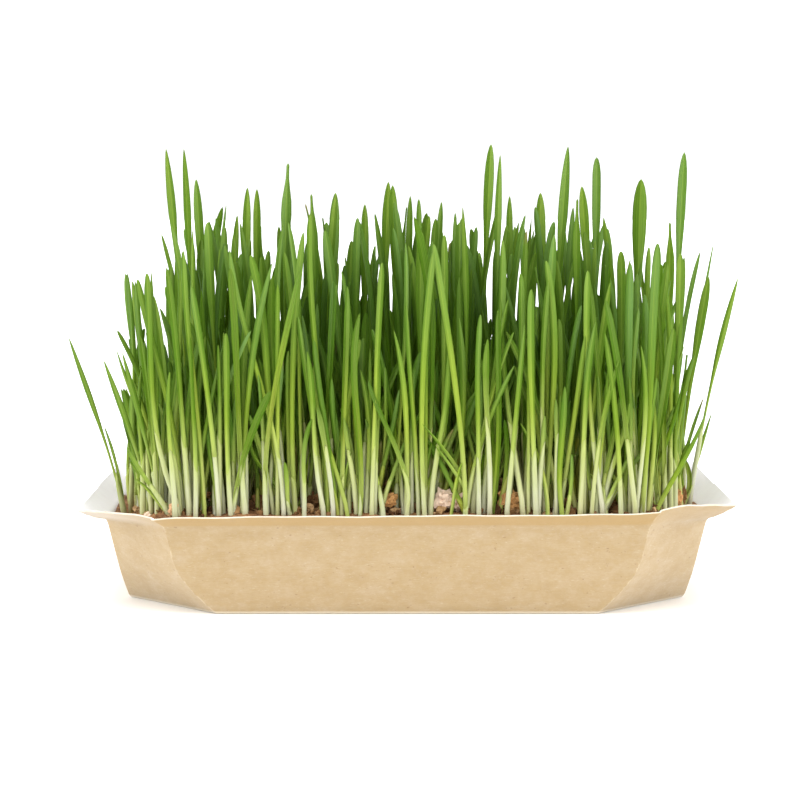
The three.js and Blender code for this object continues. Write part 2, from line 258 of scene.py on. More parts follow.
def keep(piece, slot, *nodes):
    """Fixes a piece to the object and hides the solids it stands for; slot, the name of its finish, is not
    used.
    """
    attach(piece, "root")
    if nodes:
        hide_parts(*nodes)
    sides = sum(len(face.vertices) - 2 for face in piece.data.polygons)
    print(piece.name, "has", sides, "triangles")


# %% [markdown]
# ## The paperboard tray
# The real tray is one blank of kraft board, lined white on the inside, pressed into a tapered shape with
# eight corners. Its end walls roll out into broad flanges and its long walls end in a narrow upturned
# strip. It could be a plain shell with a Solidify modifier, but the cut edge of the board shows all round
# the rim, so both skins are built here and the rim band between them gets a finish of its own. Each level
# of the outline is two corners, one at the end of a long wall and one at the end of a short wall, and the
# other six mirror them.

# %% The tray's outline
BOARD = 0.9
RIM_BOARD = 0.55                    # the rolled rim is pressed thinner
TRAY_LEVELS = (
    ((65.5, 64.5, 0.0), (98.7, 28.0, 0.0)),             # base
    ((78.6, 68.9, 13.5), (100.8, 37.0, 9.5)),           # bend of the wall
    ((82.0, 74.5, 31.0), (105.2, 42.0, 30.0)),          # top of the wall
    ((83.6, 76.4, 33.0), (107.9, 53.0, 32.2)),          # middle of the flange
    ((86.0, 78.75, 35.4), (112.5, 66.75, 36.8)),        # rim
)
WALL_ROWS = 22                      # rows of faces from the base up to the flange
BEND_REACH = 0.2                    # how far a bend is rounded, as a share of the wall's height
FLANGE_ROWS = 9
BEND_PASSES = 2                     # how often the rows beside the flange's bend are evened out
LONG_STEPS = 44
PANEL_STEPS = 16
END_STEPS = 24
FOLD_WIDTH = 0.6                    # how far a scuffed fold reaches, in millimetres


def level_corner(level, index):
    """One of the outline's eight corners, counterclockwise from the crease at the right end's back."""
    front, end = TRAY_LEVELS[level]
    quarter, order = divmod(index % 8, 2)
    x, y, z = end if (order == 0) == (quarter % 2 == 0) else front
    return np.array([(1, -1, -1, 1)[quarter] * x, (1, 1, -1, -1)[quarter] * y, z])


print("the tray is", 2 * TRAY_LEVELS[-1][1][0], "mm long over its flanges")


# %% How the walls and the flange curve
def wall_corner(share, index):
    """The wall leans out less above its bend than below it, and board bends softly."""
    base, bend, top = (level_corner(level, index) for level in (0, 1, 2))
    at_bend = bend[2] / top[2]

    def sharp(value):
        if value < at_bend:
            return base + (bend - base) * value / at_bend
        return bend + (top - bend) * (value - at_bend) / (1 - at_bend)

    reach = min(BEND_REACH, share, 1 - share)
    return (sharp(share - reach) + 2 * sharp(share) + sharp(share + reach)) / 4


def flange_corner(share, index):
    """The flange rolls outwards: a curve from the wall's top, through the middle level, to the rim."""
    wall, middle, rim = (level_corner(level, index) for level in (2, 3, 4))
    pull = 2 * middle - (wall + rim) / 2
    return (1 - share) ** 2 * wall + 2 * share * (1 - share) * pull + share ** 2 * rim


def side_shares(length, steps):
    """Shares along one side, with narrow faces beside the folds at both of its ends."""
    edge = FOLD_WIDTH / length
    inner = edge + (1 - 2 * edge) * np.linspace(0, 1, steps - 1)
    return np.concatenate([[0.0], inner])


print("half way up, the crease at the right is at X", round(float(wall_corner(0.5, 0)[0]), 1))

# %% How the rim rises and waves
FRONT_SIDE = 5                      # the outline's side with this number is the long front wall
# How much the rims of the two front panels rise, at some shares of their length from the long wall outwards.
RISE_SHARES = (0, 0.2, 0.37, 0.65, 0.84, 1)
PANEL_RISES = {4: (0.0, 0.5, 0.2, -0.05, -0.2, -0.3), 6: (1.3, 2.2, 2.0, 1.2, 0.5, 0.0)}
LAST_STRETCH = 0.92                 # from this share on the long wall's rim curls up to the right panel


def rim_shape(point, along, side, share):
    """Folded board is never true: the rim rises to the right, sags on the back panels and waves a little."""
    x, y, z = point
    lift = 0.007 * x if y < 0 else 0.003 * x
    lift += 0.12 * math.sin(x / 9.0) + 0.1 * math.sin(x / 3.7 + y)
    if side in PANEL_RISES:
        lift += np.interp(along if side == 6 else 1 - along, RISE_SHARES, PANEL_RISES[side])
    elif side % 2 == 0:
        lift -= 0.6 * math.sin(math.pi * along)
    elif side == FRONT_SIDE:
        lift += 1.3 * max((along - LAST_STRETCH) / (1 - LAST_STRETCH), 0) ** 2
        lift -= 0.55 * math.exp(-(min(along, 1 - along) * 40) ** 2)
    return np.array([x, y, z + share * lift])


print("the rims of the front panels rise by up to", max(PANEL_RISES[6]), "mm")


# %% Rows of points up the outer skin
def outline_row(corner_of, flange_share):
    """One row of points round the tray, and 1 for each point at which a fold crosses the row."""
    row = []
    fold = []
    for side in range(8):
        start, stop = corner_of(side), corner_of(side + 1)
        length = np.linalg.norm(stop - start)
        steps = PANEL_STEPS if side % 2 == 0 else LONG_STEPS if side % 4 == 1 else END_STEPS
        for along in side_shares(length, steps):
            point = (1 - along) * start + along * stop
            if flange_share > 0:
                point = rim_shape(point, along, side, flange_share)
            row.append(point)
            fold.append(1.0 if along == 0 else 0.0)
    return row, fold


def tray_skin():
    """Rows of points up the outer skin, and 1 for each point that lies on a fold of the board."""
    rows = []
    for step in range(WALL_ROWS):
        share = step / WALL_ROWS
        rows.append(outline_row(lambda index: wall_corner(share, index), 0))
    for step in range(FLANGE_ROWS + 1):
        share = step / FLANGE_ROWS
        rows.append(outline_row(lambda index: flange_corner(share, index), share))
    places = np.array([row for row, _ in rows])
    for _ in range(BEND_PASSES):
        near = places[WALL_ROWS - 2:WALL_ROWS + 3].copy()
        places[WALL_ROWS - 1:WALL_ROWS + 2] = (near[:-2] + 2 * near[1:-1] + near[2:]) / 4
    return places, np.array([fold for _, fold in rows])


outer, on_fold = tray_skin()
row_count, around, _ = outer.shape
print("the tray's outline has", around, "points in each of", row_count, "rows")


# %% The inner skin, one board thickness in
def skin_normals(rows):
    """Unit normals of a skin made of closed rows, pointing away from the tray's middle."""
    along = np.roll(rows, -1, axis=1) - np.roll(rows, 1, axis=1)
    up = np.gradient(rows, axis=0)
    normals = np.cross(along, up)
    return normals / np.linalg.norm(normals, axis=2, keepdims=True)


def inner_skin(rows):
    thick = np.interp(np.arange(len(rows)), (WALL_ROWS, len(rows) - 1), (BOARD, RIM_BOARD))
    inner = rows - skin_normals(rows) * thick[:, None, None]
    inner[0, :, 2] = BOARD
    return inner


inner = inner_skin(outer)
EDGE_ROUND = 0.4                    # the base's fold is rounded by this much
BASE_REACH = 80                     # about as far as the base reaches from its middle
foot = outer[0].copy()
foot[:, :2] *= 1 - EDGE_ROUND / BASE_REACH
outer[0, :, 2] = EDGE_ROUND
print("the inner skin has", inner.size // 3, "points")


# %% Helpers that make faces
def band_faces(start, rows, flip):
    """Quads between closed rows of points, the first of which starts at start."""
    faces = []
    for row in range(rows - 1):
        for point in range(around):
            after = (point + 1) % around
            low = start + row * around
            quad = (low + point, low + after, low + around + after, low + around + point)
            faces.append(quad[::-1] if flip else quad)
    return faces


def fan_faces(ring_start, centre, flip):
    """Triangles from a closed row of points to one point in its middle."""
    faces = [(ring_start + (point + 1) % around, ring_start + point, centre) for point in range(around)]
    return [face[::-1] for face in faces] if flip else faces


print("one band round the tray has", len(band_faces(0, 2, False)), "faces")

# %% The tray's faces
outer_points = np.concatenate([foot[None], outer]).reshape(-1, 3)
inner_points = inner.reshape(-1, 3)
inner_start = len(outer_points)
tray_points = np.concatenate([outer_points, inner_points, [[0, 0, 0], [0, 0, BOARD]]])
kraft_faces = band_faces(0, row_count + 1, False) + fan_faces(0, len(tray_points) - 2, False)
lining_faces = band_faces(inner_start, row_count, True) + fan_faces(inner_start, len(tray_points) - 1, True)
outer_rim, inner_rim = inner_start - around, len(tray_points) - 2 - around
edge_faces = [(outer_rim + point, outer_rim + (point + 1) % around,
               inner_rim + (point + 1) % around, inner_rim + point) for point in range(around)]
print("board", BOARD, "mm thick, rim", round(float(outer[-1, :, 2].max()), 2), "mm above the floor")

# %% Where the board is folded and worn, and where light is painted on it
STRIP_START = WALL_ROWS + 1.5       # the row at which the flange's outer strip starts to darken
STRIP_FADE = 1.5                    # and over how many rows it does so
LONG_WALL_REACH = 90.0              # the strip is at its darkest up to near this X, and weaker at the ends
PAINTED_LIGHT_CORNER = (-112.5, -66.75)    # painted light: this corner of the rim is painted paler
PAINTED_LIGHT_REACH = 24.0
PAINTED_LIGHT_BOTTOM = 30.5                # nothing below this height gets the painted light
PAINTED_LIGHT_FADE = 2.5                   # over this height the painted light sets in
fold_values = np.concatenate([on_fold[:1].ravel(), on_fold.ravel(), on_fold.ravel(), [0, 0]])
wear_values = np.zeros(len(tray_points))
wear_values[:2 * around] = 1.0      # the two lowest rows, where the tray's foot rubs on the shelf
strip_rows = np.clip((np.arange(row_count) - STRIP_START) / STRIP_FADE, 0, 1)
on_long_wall = np.clip((LONG_WALL_REACH - np.abs(outer[-1, :, 0])) / 5, 0.4, 1)
strip_values = np.concatenate([np.zeros(around), np.outer(strip_rows, on_long_wall).ravel(),
                               np.zeros(inner_start + 2 - around)])
from_corner = np.hypot(tray_points[:, 0] - PAINTED_LIGHT_CORNER[0], tray_points[:, 1] - PAINTED_LIGHT_CORNER[1])
high_enough = np.clip((tray_points[:, 2] - PAINTED_LIGHT_BOTTOM) / PAINTED_LIGHT_FADE, 0, 1)
painted_light_values = np.clip(1.3 - from_corner / PAINTED_LIGHT_REACH, 0, 1) * high_enough
print("points on a fold:", int(fold_values.sum()), "and rubbed:", int((painted_light_values > 0).sum()))

# %% [markdown]
# ## Kraft, lining and cut edge
# Kraft board is brown pulp: long fibres lying mostly along the sheet, a cloudy tone where they bunch, and
# a few dark specks of bark. Where it is folded the surface breaks and shows paler. It could be a picture
# wrapped round the tray, but layers of noise need no unwrapping and have no seam. Most of them are
# squeezed in height, so that clouds, fibres, streaks and specks run along the walls. The numbers stored on
# the mesh lighten the creases and the foot, paint light on the front left corner of the rim, and darken
# the strip under the rim.

# %% Kraft outside
kraft = Finish("kraft_board", 0.86, 0.25)
fibre_place = kraft.place((1.0, 1.0, 3.2))
clouds = kraft.noise(kraft.place((1, 1, 1.6)), 120.0, 4.0, 0.6)
fibres = kraft.noise(fibre_place, 900.0, 5.0, 0.7)
streaks = kraft.noise(kraft.place((0.5, 0.5, 6.0)), 420.0, 3.0, 0.6)
specks = kraft.grey(kraft.noise(kraft.place((1, 1, 1.8)), 620.0, 1.0), 0.725, 0.76)
flecks = kraft.grey(kraft.noise(kraft.place((0.6, 0.6, 2.6)), 1150.0, 1.0), 0.66, 0.74)
body_colour = kraft.ramp(clouds, (0.3, srgb(161, 138, 102)), (0.5, srgb(167, 145, 110)),
                         (0.7, srgb(173, 153, 124)))
body_colour = kraft.tinted(body_colour, fibres, 0.38, 0.62, 0.45, srgb(160, 135, 94))
body_colour = kraft.tinted(body_colour, streaks, 0.5, 0.7, 0.27, srgb(177, 160, 131))
blotches = kraft.noise(kraft.place((1, 1, 1.3)), 420.0, 4.0, 0.7)
body_colour = kraft.tinted(body_colour, blotches, 0.5, 0.7, 0.27, srgb(180, 160, 136))
body_colour = kraft.tinted(body_colour, blotches, 0.5, 0.3, 0.25, srgb(164, 137, 90))
body_colour = kraft.tinted(body_colour, flecks, 0.0, 1.0, 0.35, srgb(191, 178, 158))
body_colour = kraft.tinted(body_colour, specks, 0.0, 1.0, 0.5, srgb(128, 100, 74))
body_colour = kraft.tinted(body_colour, kraft.attribute("strip"), 0.0, 1.0, 0.75, srgb(164, 134, 84))
scuff_noise = kraft.noise(kraft.place((1, 1, 0.6)), 420.0, 3.0, 0.7)
scuffed = kraft.maths("MULTIPLY", kraft.attribute("fold"), kraft.grey(scuff_noise, 0.46, 0.6, 0.0, 0.42))
body_colour = kraft.mixed(scuffed, body_colour, srgb(208, 192, 166))
body_colour = kraft.tinted(body_colour, kraft.attribute("wear"), 0.3, 1.0, 0.75, srgb(214, 203, 182))
# Painted light: the front left corner of the rim is painted paler, as the floor's bounce and a grazing
# reflection show it there.
body_colour = kraft.mixed(kraft.attribute("painted_light"), body_colour, srgb(184, 170, 152))
kraft.colour(body_colour)
kraft.bump(fibres, 0.05, 0.5)
kraft.shader.inputs["Sheen Weight"].default_value = 0.2
kraft.shader.inputs["Sheen Roughness"].default_value = 0.55
print("kraft board is mixed from", len(kraft.tree.nodes), "nodes")

# %% White lining and the cut edge
lining = Finish("white_lining", 0.6, 0.35)
lining_tone = lining.noise(lining.place(), 160.0, 4.0)
lining.colour(lining.ramp(lining_tone, (0.35, srgb(246, 241, 247)), (0.65, srgb(249, 245, 251))))
lining.bump(lining.noise(lining.place(), 1500.0, 2.0), 0.02, 0.4)

cut_edge = Finish("cut_edge", 0.9, 0.2)
layers = cut_edge.noise(cut_edge.place((1, 1, 9)), 500.0, 3.0)
cut_edge.colour(cut_edge.ramp(layers, (0.3, srgb(192, 178, 156)), (0.6, srgb(204, 196, 180))))
cut_edge.bump(layers, 0.06, 0.6)
print("the lining has", len(lining.tree.nodes), "nodes and the cut edge", len(cut_edge.tree.nodes))

# %% The tray as one mesh
tray_faces = kraft_faces + lining_faces + edge_faces
tray_slots = [0] * len(kraft_faces) + [1] * len(lining_faces) + [2] * len(edge_faces)
tray = add_piece("paperboard_tray", tray_points, tray_faces,
                 (kraft.material, lining.material, cut_edge.material), tray_slots,
                 {"fold": fold_values, "wear": wear_values, "strip": strip_values,
                  "painted_light": painted_light_values}, crease=21)
keep(tray, "paperboard", "tray")

# %% [markdown]
# ## The growing medium
# Under the grass lies a bed of damp coconut fibre and husk, heaped a little in the middle and darker where
# it is wet. Its top is a heightfield: rings that shrink from the tray's wall to its middle follow the
# eight corners, and noise of four sizes lifts them into lumps and crumbs. Loose crumbs, chips of husk and
# single fibres are scattered on it afterwards, because only real pieces cast the small dark shadows that
# make it look loose.

# %% Height of the bed
BED_EDGE = 31.6                     # height at the tray's wall
BED_MOUND = 3.0                     # how much higher it is in the middle
CORNER_DIP = 2.8                    # how much it sinks towards the front left corner
FRONT_HEAP = 2.8                    # and how much it is heaped against the front wall
WALL_GAP = 0.25
BED_HALF = (104.0, 73.4)            # how far the bed reaches from its middle, along X and along Y
PANEL_LEVEL = (20.0, 92.0)          # the corner panels: where their share starts and over how far it grows


def bed_outline(height):
    """The tray's wall at a height, as eight corners."""
    bend, top = TRAY_LEVELS[1][0][2], TRAY_LEVELS[2][0][2]
    share = (height - bend) / (top - bend)
    corners = [(1 - share) * level_corner(1, index) + share * level_corner(2, index) for index in range(8)]
    return [corner[:2] for corner in corners]


def inside_share(x, y):
    """0 in the middle of the tray and 1 at the wall, for an eight-cornered outline. It takes arrays too."""
    x, y = np.abs(x), np.abs(y)
    start, span = PANEL_LEVEL
    return np.maximum.reduce([x / BED_HALF[0], y / BED_HALF[1], (x * 0.8 + y * 0.6 - start) / span])


def ramp_up(value):
    return min(max(value, 0), 1)


def bed_height(x, y):
    """The height of the bed: a mound with lumps and crumbs, a dip in one corner and a heap at the front."""
    mound = BED_MOUND * (1 - inside_share(x, y) ** 2)
    spot = Vector((x, y, 3.0))
    lumps = 1.3 * noise.noise(spot / 13.0) + 0.9 * noise.noise(spot / 5.0)
    crumbs = 0.55 * abs(noise.noise(spot / 2.2)) + 0.35 * abs(noise.noise(spot / 1.1))
    near_front = ramp_up((-y - 48) / 16) * ramp_up((x + 95) / 12)
    dip = CORNER_DIP * ramp_up((-x - 86) / 12) * ramp_up((-y - 10) / 30)
    heap = FRONT_HEAP * near_front * near_front * (3 - 2 * near_front)
    return BED_EDGE + mound + lumps + crumbs - dip + heap


print("the bed lies at", round(bed_height(0, 0), 1), "mm in the middle of the tray")


# %% The bed as one closed body
BED_RINGS = 70
BED_AROUND = 208
BED_FLOOR = 2.0


def ring_points(corners, steps):
    """steps points spread evenly round a closed outline."""
    corners = np.array(corners)
    after = np.roll(corners, -1, axis=0)
    lengths = np.linalg.norm(after - corners, axis=1)
    ends = np.concatenate([[0], np.cumsum(lengths)])
    points = []
    for distance in np.arange(steps) / steps * ends[-1]:
        side = int(np.searchsorted(ends, distance, side="right")) - 1
        share = (distance - ends[side]) / lengths[side]
        points.append((1 - share) * corners[side] + share * after[side])
    return np.array(points)


def inset_outline(corners, inset):
    """An outline whose corners are pulled in towards the middle, so that its sides lie inset farther in."""
    corners = np.array(corners)
    reach = np.linalg.norm(corners, axis=1, keepdims=True)
    return corners * (1 - inset * 1.12 / reach)


wall_ring = ring_points(inset_outline(bed_outline(BED_EDGE - 0.8), BOARD + WALL_GAP), BED_AROUND)
base_corners = [level_corner(0, index)[:2] for index in range(8)]
floor_ring = ring_points(inset_outline(base_corners, BOARD + WALL_GAP + 0.6), BED_AROUND)
bed_points = [(x, y, BED_FLOOR) for x, y in floor_ring]
for ring in range(BED_RINGS, 0, -1):
    share = (ring / BED_RINGS) ** 0.85
    for x, y in wall_ring * share:
        bed_points.append((x, y, bed_height(x, y)))
bed_points += [(0, 0, bed_height(0, 0)), (0, 0, BED_FLOOR)]
bed_faces = []
for ring in range(BED_RINGS):
    for point in range(BED_AROUND):
        after = (point + 1) % BED_AROUND
        low = ring * BED_AROUND
        bed_faces.append((low + point, low + after, low + BED_AROUND + after, low + BED_AROUND + point))
top_ring = BED_RINGS * BED_AROUND
for point in range(BED_AROUND):
    after = (point + 1) % BED_AROUND
    bed_faces.append((top_ring + point, top_ring + after, len(bed_points) - 2))
    bed_faces.append((after, point, len(bed_points) - 1))
print("the bed has", len(bed_points), "points in", BED_RINGS, "rings")

# %% Damp fibre finish
damp = Finish("damp_fibre", 0.92, 0.25)
damp_cloud = damp.noise(damp.place(), 260.0, 4.0, 0.6)
damp_grain = damp.noise(damp.place(), 1300.0, 4.0, 0.7)
damp_colour = damp.ramp(damp_cloud, (0.3, srgb(62, 36, 18)), (0.5, srgb(104, 66, 38)),
                        (0.72, srgb(146, 104, 64)))
damp.colour(damp.tinted(damp_colour, damp_grain, 0.45, 0.7, 0.6, srgb(176, 136, 94)))
damp.bump(damp_grain, 0.3, 0.8)
soil = add_piece("growing_medium", bed_points, bed_faces, (damp.material,))
keep(soil, "growing_medium", "soil")

# %% [markdown]
# ## Crumbs, husk chips and fibres
# Every crumb is a small many-sided stone shape whose corners are pushed in and out by noise, then
# stretched and turned, and every fibre is a thin tube that bends its way over the bed. Geometry nodes
# could scatter them too, but a loop with seeded draws is easier to follow. One mesh holds the crumbs and
# chips and a second one the fibres. A number stored on each crumb picks its tint: most are dark brown,
# some tan, and a few are pale husk or reddish.

# %% Seeded draws for loose things
loose_draws = np.random.RandomState(71)


def rough_stone(size, turn, seed, detail=0):
    """A lumpy stone shape: a subdivided icosahedron with each point moved by noise, then brought to size."""
    shape = bmesh.new()
    bmesh.ops.create_icosphere(shape, subdivisions=detail or (1 if max(size) < 1.7 else 2), radius=1.0)
    directions = [corner.co.normalized() for corner in shape.verts]
    swells = []
    for direction in directions:
        swell = 1 + 0.7 * noise.noise(direction * 1.3 + Vector((seed, 0, 0)))
        swell += 0.6 * noise.noise(direction * 3.1 + Vector((0, seed, 0)))
        if detail:
            swell += 0.3 * noise.noise(direction * 7.0 + Vector((0, 0, seed)))
        swells.append(swell)
    middle = sum(swells) / len(swells)
    points = [[swell / middle * value * reach for value, reach in zip(direction, size)]
              for direction, swell in zip(directions, swells)]
    faces = [[corner.index for corner in face.verts] for face in shape.faces]
    shape.free()
    cos_turn, sin_turn = math.cos(turn), math.sin(turn)
    return [(cos_turn * x - sin_turn * y, sin_turn * x + cos_turn * y, z) for x, y, z in points], faces


print("a small stone has", len(rough_stone((1, 1, 1), 0, 0)[0]), "corners")


# %% A heap of small shapes
class Heap:
    """Collects many small closed shapes into one mesh, with a number stored for each."""

    def __init__(self):
        self.points = []
        self.faces = []
        self.tints = []

    def add(self, points, faces, place, tint):
        start = len(self.points)
        x0, y0, z0 = place
        self.points += [(x + x0, y + y0, z + z0) for x, y, z in points]
        self.faces += [[start + index for index in face] for face in faces]
        self.tints += [tint] * len(points)


def random_bed_spot(margin):
    """A random place on the bed, as far out as margin says: 1 is the wall."""
    while True:
        x, y = loose_draws.uniform(-103, 103), loose_draws.uniform(-73, 73)
        if inside_share(x, y) < margin:
            return x, y


# %% Scatter the crumbs
CRUMB_COUNT = 1500
CRUMB_EDGE = 0.955                  # no crumb lies nearer to the wall than this share
DARK_CORNER = -86                   # left of this X the bed is wet and nearly all crumbs are dark


def random_size(reach):
    return [reach * loose_draws.uniform(0.7, 1.3) for _ in range(3)]


crumbs = Heap()
for number in range(CRUMB_COUNT):
    x, y = random_bed_spot(0.965)
    if number % 3 == 0:
        y = -abs(y) if abs(y) > 30 else y - 30
    reach = 0.5 + 1.6 * loose_draws.random_sample() ** 3.2
    size = random_size(reach)
    if inside_share(x, y) > CRUMB_EDGE:
        continue
    stone, stone_faces = rough_stone(size, loose_draws.uniform(0, 3.1), number * 0.37)
    tint = loose_draws.random_sample() ** (1.6 if x > DARK_CORNER else 4.0)
    crumbs.add(stone, stone_faces, (x, y, bed_height(x, y) + 0.25 * reach), tint)
print("scattered crumbs with", len(crumbs.points), "points")

# %% A heap of coarser crumbs just behind the front rim
HEAP_COUNT = 620
for number in range(HEAP_COUNT):
    x = loose_draws.uniform(-94, 94)
    y = loose_draws.uniform(-71, -52)
    if inside_share(x, y) > CRUMB_EDGE:
        continue
    reach = 0.5 + 1.1 * loose_draws.random_sample() ** 2.5
    size = random_size(reach)
    stone, stone_faces = rough_stone(size, loose_draws.uniform(0, 3.1), 900 + number * 0.37)
    z = bed_height(x, y) + loose_draws.uniform(0.2, 1.0) * reach
    crumbs.add(stone, stone_faces, (x, y, z), 0.05 + 0.75 * loose_draws.random_sample() ** 1.4)
print("and with the heap", len(crumbs.points))

# %% Chips that catch the eye along the front
# Each line is a chip's place, its half sizes and its tint.
CHIPS = (
    ((12.6, -66.0, 39.6), (2.9, 2.0, 3.2), 1.0),
    ((17.8, -66.0, 38.7), (2.4, 1.8, 2.6), 0.97),
    ((9.9, -63.0, 35.9), (1.6, 1.3, 1.5), 0.86),
    ((14.0, -65.0, 35.2), (2.6, 1.4, 1.2), 0.97),
    ((-6.3, -66.0, 39.6), (2.7, 1.6, 2.4), 0.84),
    ((-4.6, -48.0, 41.2), (3.4, 2.0, 2.6), 0.48),
    ((-6.8, 14.0, 39.0), (5.4, 3.4, 5.0), 0.5),
    ((-2.0, -64.0, 35.6), (1.3, 0.9, 0.8), 0.9),
    ((35.4, -65.5, 39.2), (3.6, 2.1, 3.4), 0.84),
    ((32.3, -46.0, 42.0), (1.9, 1.5, 2.5), 0.62),
    ((56.0, -60.0, 36.9), (2.3, 1.7, 2.4), 0.5),
    ((70.3, -60.0, 37.0), (2.0, 1.5, 2.5), 0.46),
    ((71.4, -50.0, 40.2), (1.0, 0.9, 2.6), 0.64),
    ((75.6, -60.0, 37.2), (1.5, 1.3, 2.3), 0.5),
    ((83.6, -58.0, 37.2), (1.4, 1.1, 2.7), 0.42),
    ((94.6, -44.0, 37.4), (1.6, 0.9, 2.7), 0.87),
    ((97.6, -36.0, 37.4), (1.0, 1.0, 2.8), 0.5),
    ((-93.6, -50.0, 34.3), (1.2, 0.9, 1.0), 0.7),
    ((-79.4, -70.0, 37.0), (1.4, 0.9, 2.3), 0.9),
    ((-72.8, -50.0, 38.2), (1.1, 0.9, 1.9), 0.92),
    ((-68.9, -55.0, 40.0), (1.3, 0.9, 0.9), 0.84),
    ((-51.5, -60.0, 37.6), (2.3, 1.7, 2.8), 0.4),
    ((-32.4, -60.0, 38.0), (2.6, 1.9, 3.0), 0.38),
    ((30.0, -10.0, 38.2), (2.8, 2.0, 2.6), 0.6),
)
for number, (place, size, tint) in enumerate(CHIPS):
    stone, stone_faces = rough_stone(size, 0.25 * math.sin(number), 50.3 + 1.7 * number, 3)
    crumbs.add(stone, stone_faces, place, tint)
print("laid", len(CHIPS), "chips of husk")

# %% The finish of crumbs and chips
crumb_finish = Finish("crumbs_and_husk", 0.9, 0.25)
crumb_grain = crumb_finish.noise(crumb_finish.place(), 900.0, 4.0, 0.7)
crumb_colour = crumb_finish.ramp(
    crumb_finish.attribute("tint"), (0.0, srgb(58, 36, 18)), (0.3, srgb(104, 72, 42)),
    (0.55, srgb(146, 112, 72)), (0.8, srgb(186, 154, 112)), (0.86, srgb(206, 148, 84)),
    (0.92, srgb(214, 176, 142)), (1.0, srgb(240, 213, 190)))
crumb_spots = crumb_finish.noise(crumb_finish.place(), 1600.0, 3.0, 0.7)
crumb_dirt = crumb_finish.grey(crumb_finish.attribute("tint"), 0.8, 1.0, 1.0, 0.35)
crumb_colour = crumb_finish.mixed(
    crumb_finish.maths("MULTIPLY", crumb_dirt, crumb_finish.grey(crumb_grain, 0.42, 0.66, 0.0, 0.5)),
    crumb_colour, srgb(120, 78, 44))
crumb_colour = crumb_finish.mixed(
    crumb_finish.maths("MULTIPLY", crumb_dirt, crumb_finish.grey(crumb_spots, 0.58, 0.7, 0.0, 0.6)),
    crumb_colour, srgb(64, 36, 16))
crumb_finish.colour(crumb_colour)
crumb_finish.bump(crumb_grain, 0.25, 0.9)
crumb_piece = add_piece("crumbs_and_husk_chips", crumbs.points, crumbs.faces, (crumb_finish.material,),
                        values={"tint": crumbs.tints}, crease=24)
keep(crumb_piece, "growing_medium")


# %% A helper for thin round things
STRAND_SIDES = 4


def strand(path, radii):
    """A closed tube through the points of path, with a radius at each one."""
    sides = STRAND_SIDES
    path = np.asarray(path, dtype=float)
    ahead = np.gradient(path, axis=0)
    ahead /= np.linalg.norm(ahead, axis=1, keepdims=True)
    helper = np.array([0.0, 0.0, 1.0]) if abs(ahead[0][2]) < 0.8 else np.array([1.0, 0.0, 0.0])
    across = np.cross(ahead, helper)
    across /= np.linalg.norm(across, axis=1, keepdims=True)
    over = np.cross(across, ahead)
    angles = np.arange(sides) * 2 * math.pi / sides
    around_path = (np.cos(angles)[None, :, None] * across[:, None]
                   + np.sin(angles)[None, :, None] * over[:, None])
    rings = path[:, None] + np.asarray(radii)[:, None, None] * around_path
    count = len(path)
    faces = [tuple(range(sides))[::-1], tuple((count - 1) * sides + side for side in range(sides))]
    for ring in range(count - 1):
        for side in range(sides):
            after = (side + 1) % sides
            low = ring * sides
            faces.append((low + side, low + after, low + sides + after, low + sides + side))
    return rings.reshape(-1, 3).tolist(), faces


print("every loose fibre has", STRAND_SIDES, "sides")

# %% Loose fibres
fibres_heap = Heap()
FIBRE_COUNT = 620
for number in range(FIBRE_COUNT):
    x, y = random_bed_spot(0.9)
    heading = loose_draws.uniform(0, 2 * math.pi)
    turn = loose_draws.uniform(-0.25, 0.25)
    step = loose_draws.uniform(0.9, 1.9)
    lift = loose_draws.uniform(0.1, 1.3)
    path = []
    for stop in range(8):
        if inside_share(x, y) > 0.95:
            break
        path.append((x, y, bed_height(x, y) + 0.2 + lift * math.sin(math.pi * stop / 7)))
        x += step * math.cos(heading)
        y += step * math.sin(heading)
        heading += turn + loose_draws.uniform(-0.2, 0.2)
    if len(path) > 4:
        thick = loose_draws.uniform(0.09, 0.2)
        radii = [thick * (1 - 0.6 * abs(2 * stop / (len(path) - 1) - 1)) for stop in range(len(path))]
        fibres_heap.add(*strand(path, radii), (0, 0, 0), loose_draws.random_sample())
print("scattered fibres with", len(fibres_heap.points), "points")

# %% The finish of fibres
fibre_finish = Finish("loose_fibre", 0.8, 0.3)
fibre_colour = fibre_finish.ramp(
    fibre_finish.attribute("tint"), (0.0, srgb(70, 40, 20)), (0.5, srgb(124, 84, 46)),
    (1.0, srgb(190, 150, 100)))
fibre_dirt = fibre_finish.noise(fibre_finish.place(), 800.0)
fibre_finish.colour(fibre_finish.tinted(fibre_colour, fibre_dirt, 0.4, 0.6, 0.4, srgb(60, 34, 18)))
fibre_piece = add_piece("loose_fibres", fibres_heap.points, fibres_heap.faces, (fibre_finish.material,),
                        values={"tint": fibres_heap.tints})
keep(fibre_piece, "growing_medium")

# %% [markdown]
# ## Where the grass stands
# The solids hold the grass as bunches, each a small block of roots with its shoots. Their places follow a
# rule with seeded draws and a short list, and both are repeated here, so that every fine shoot grows where
# a plain one stands. A shoot is kept only where it crosses no other: at every fourth millimetre of height
# each shoot is a short line seen from above, and two such lines may not come too near each other.

# %% The seeded draws of the solids
class Draws:
    """A small random number generator with 32-bit steps."""

    def __init__(self, seed):
        self.state = seed

    def share(self):
        self.state = (self.state + 0x6D2B79F5) & 0xFFFFFFFF
        value = self.state
        value = ((value ^ (value >> 15)) * (1 | value)) & 0xFFFFFFFF
        value = ((value + (((value ^ (value >> 7)) * (61 | value)) & 0xFFFFFFFF)) & 0xFFFFFFFF) ^ value
        return (value ^ (value >> 14)) / 4294967296

    def between(self, low, high):
        return low + (high - low) * self.share()


SEED = 4904
draws = Draws(SEED)
print("the draws of the solids start from", SEED)

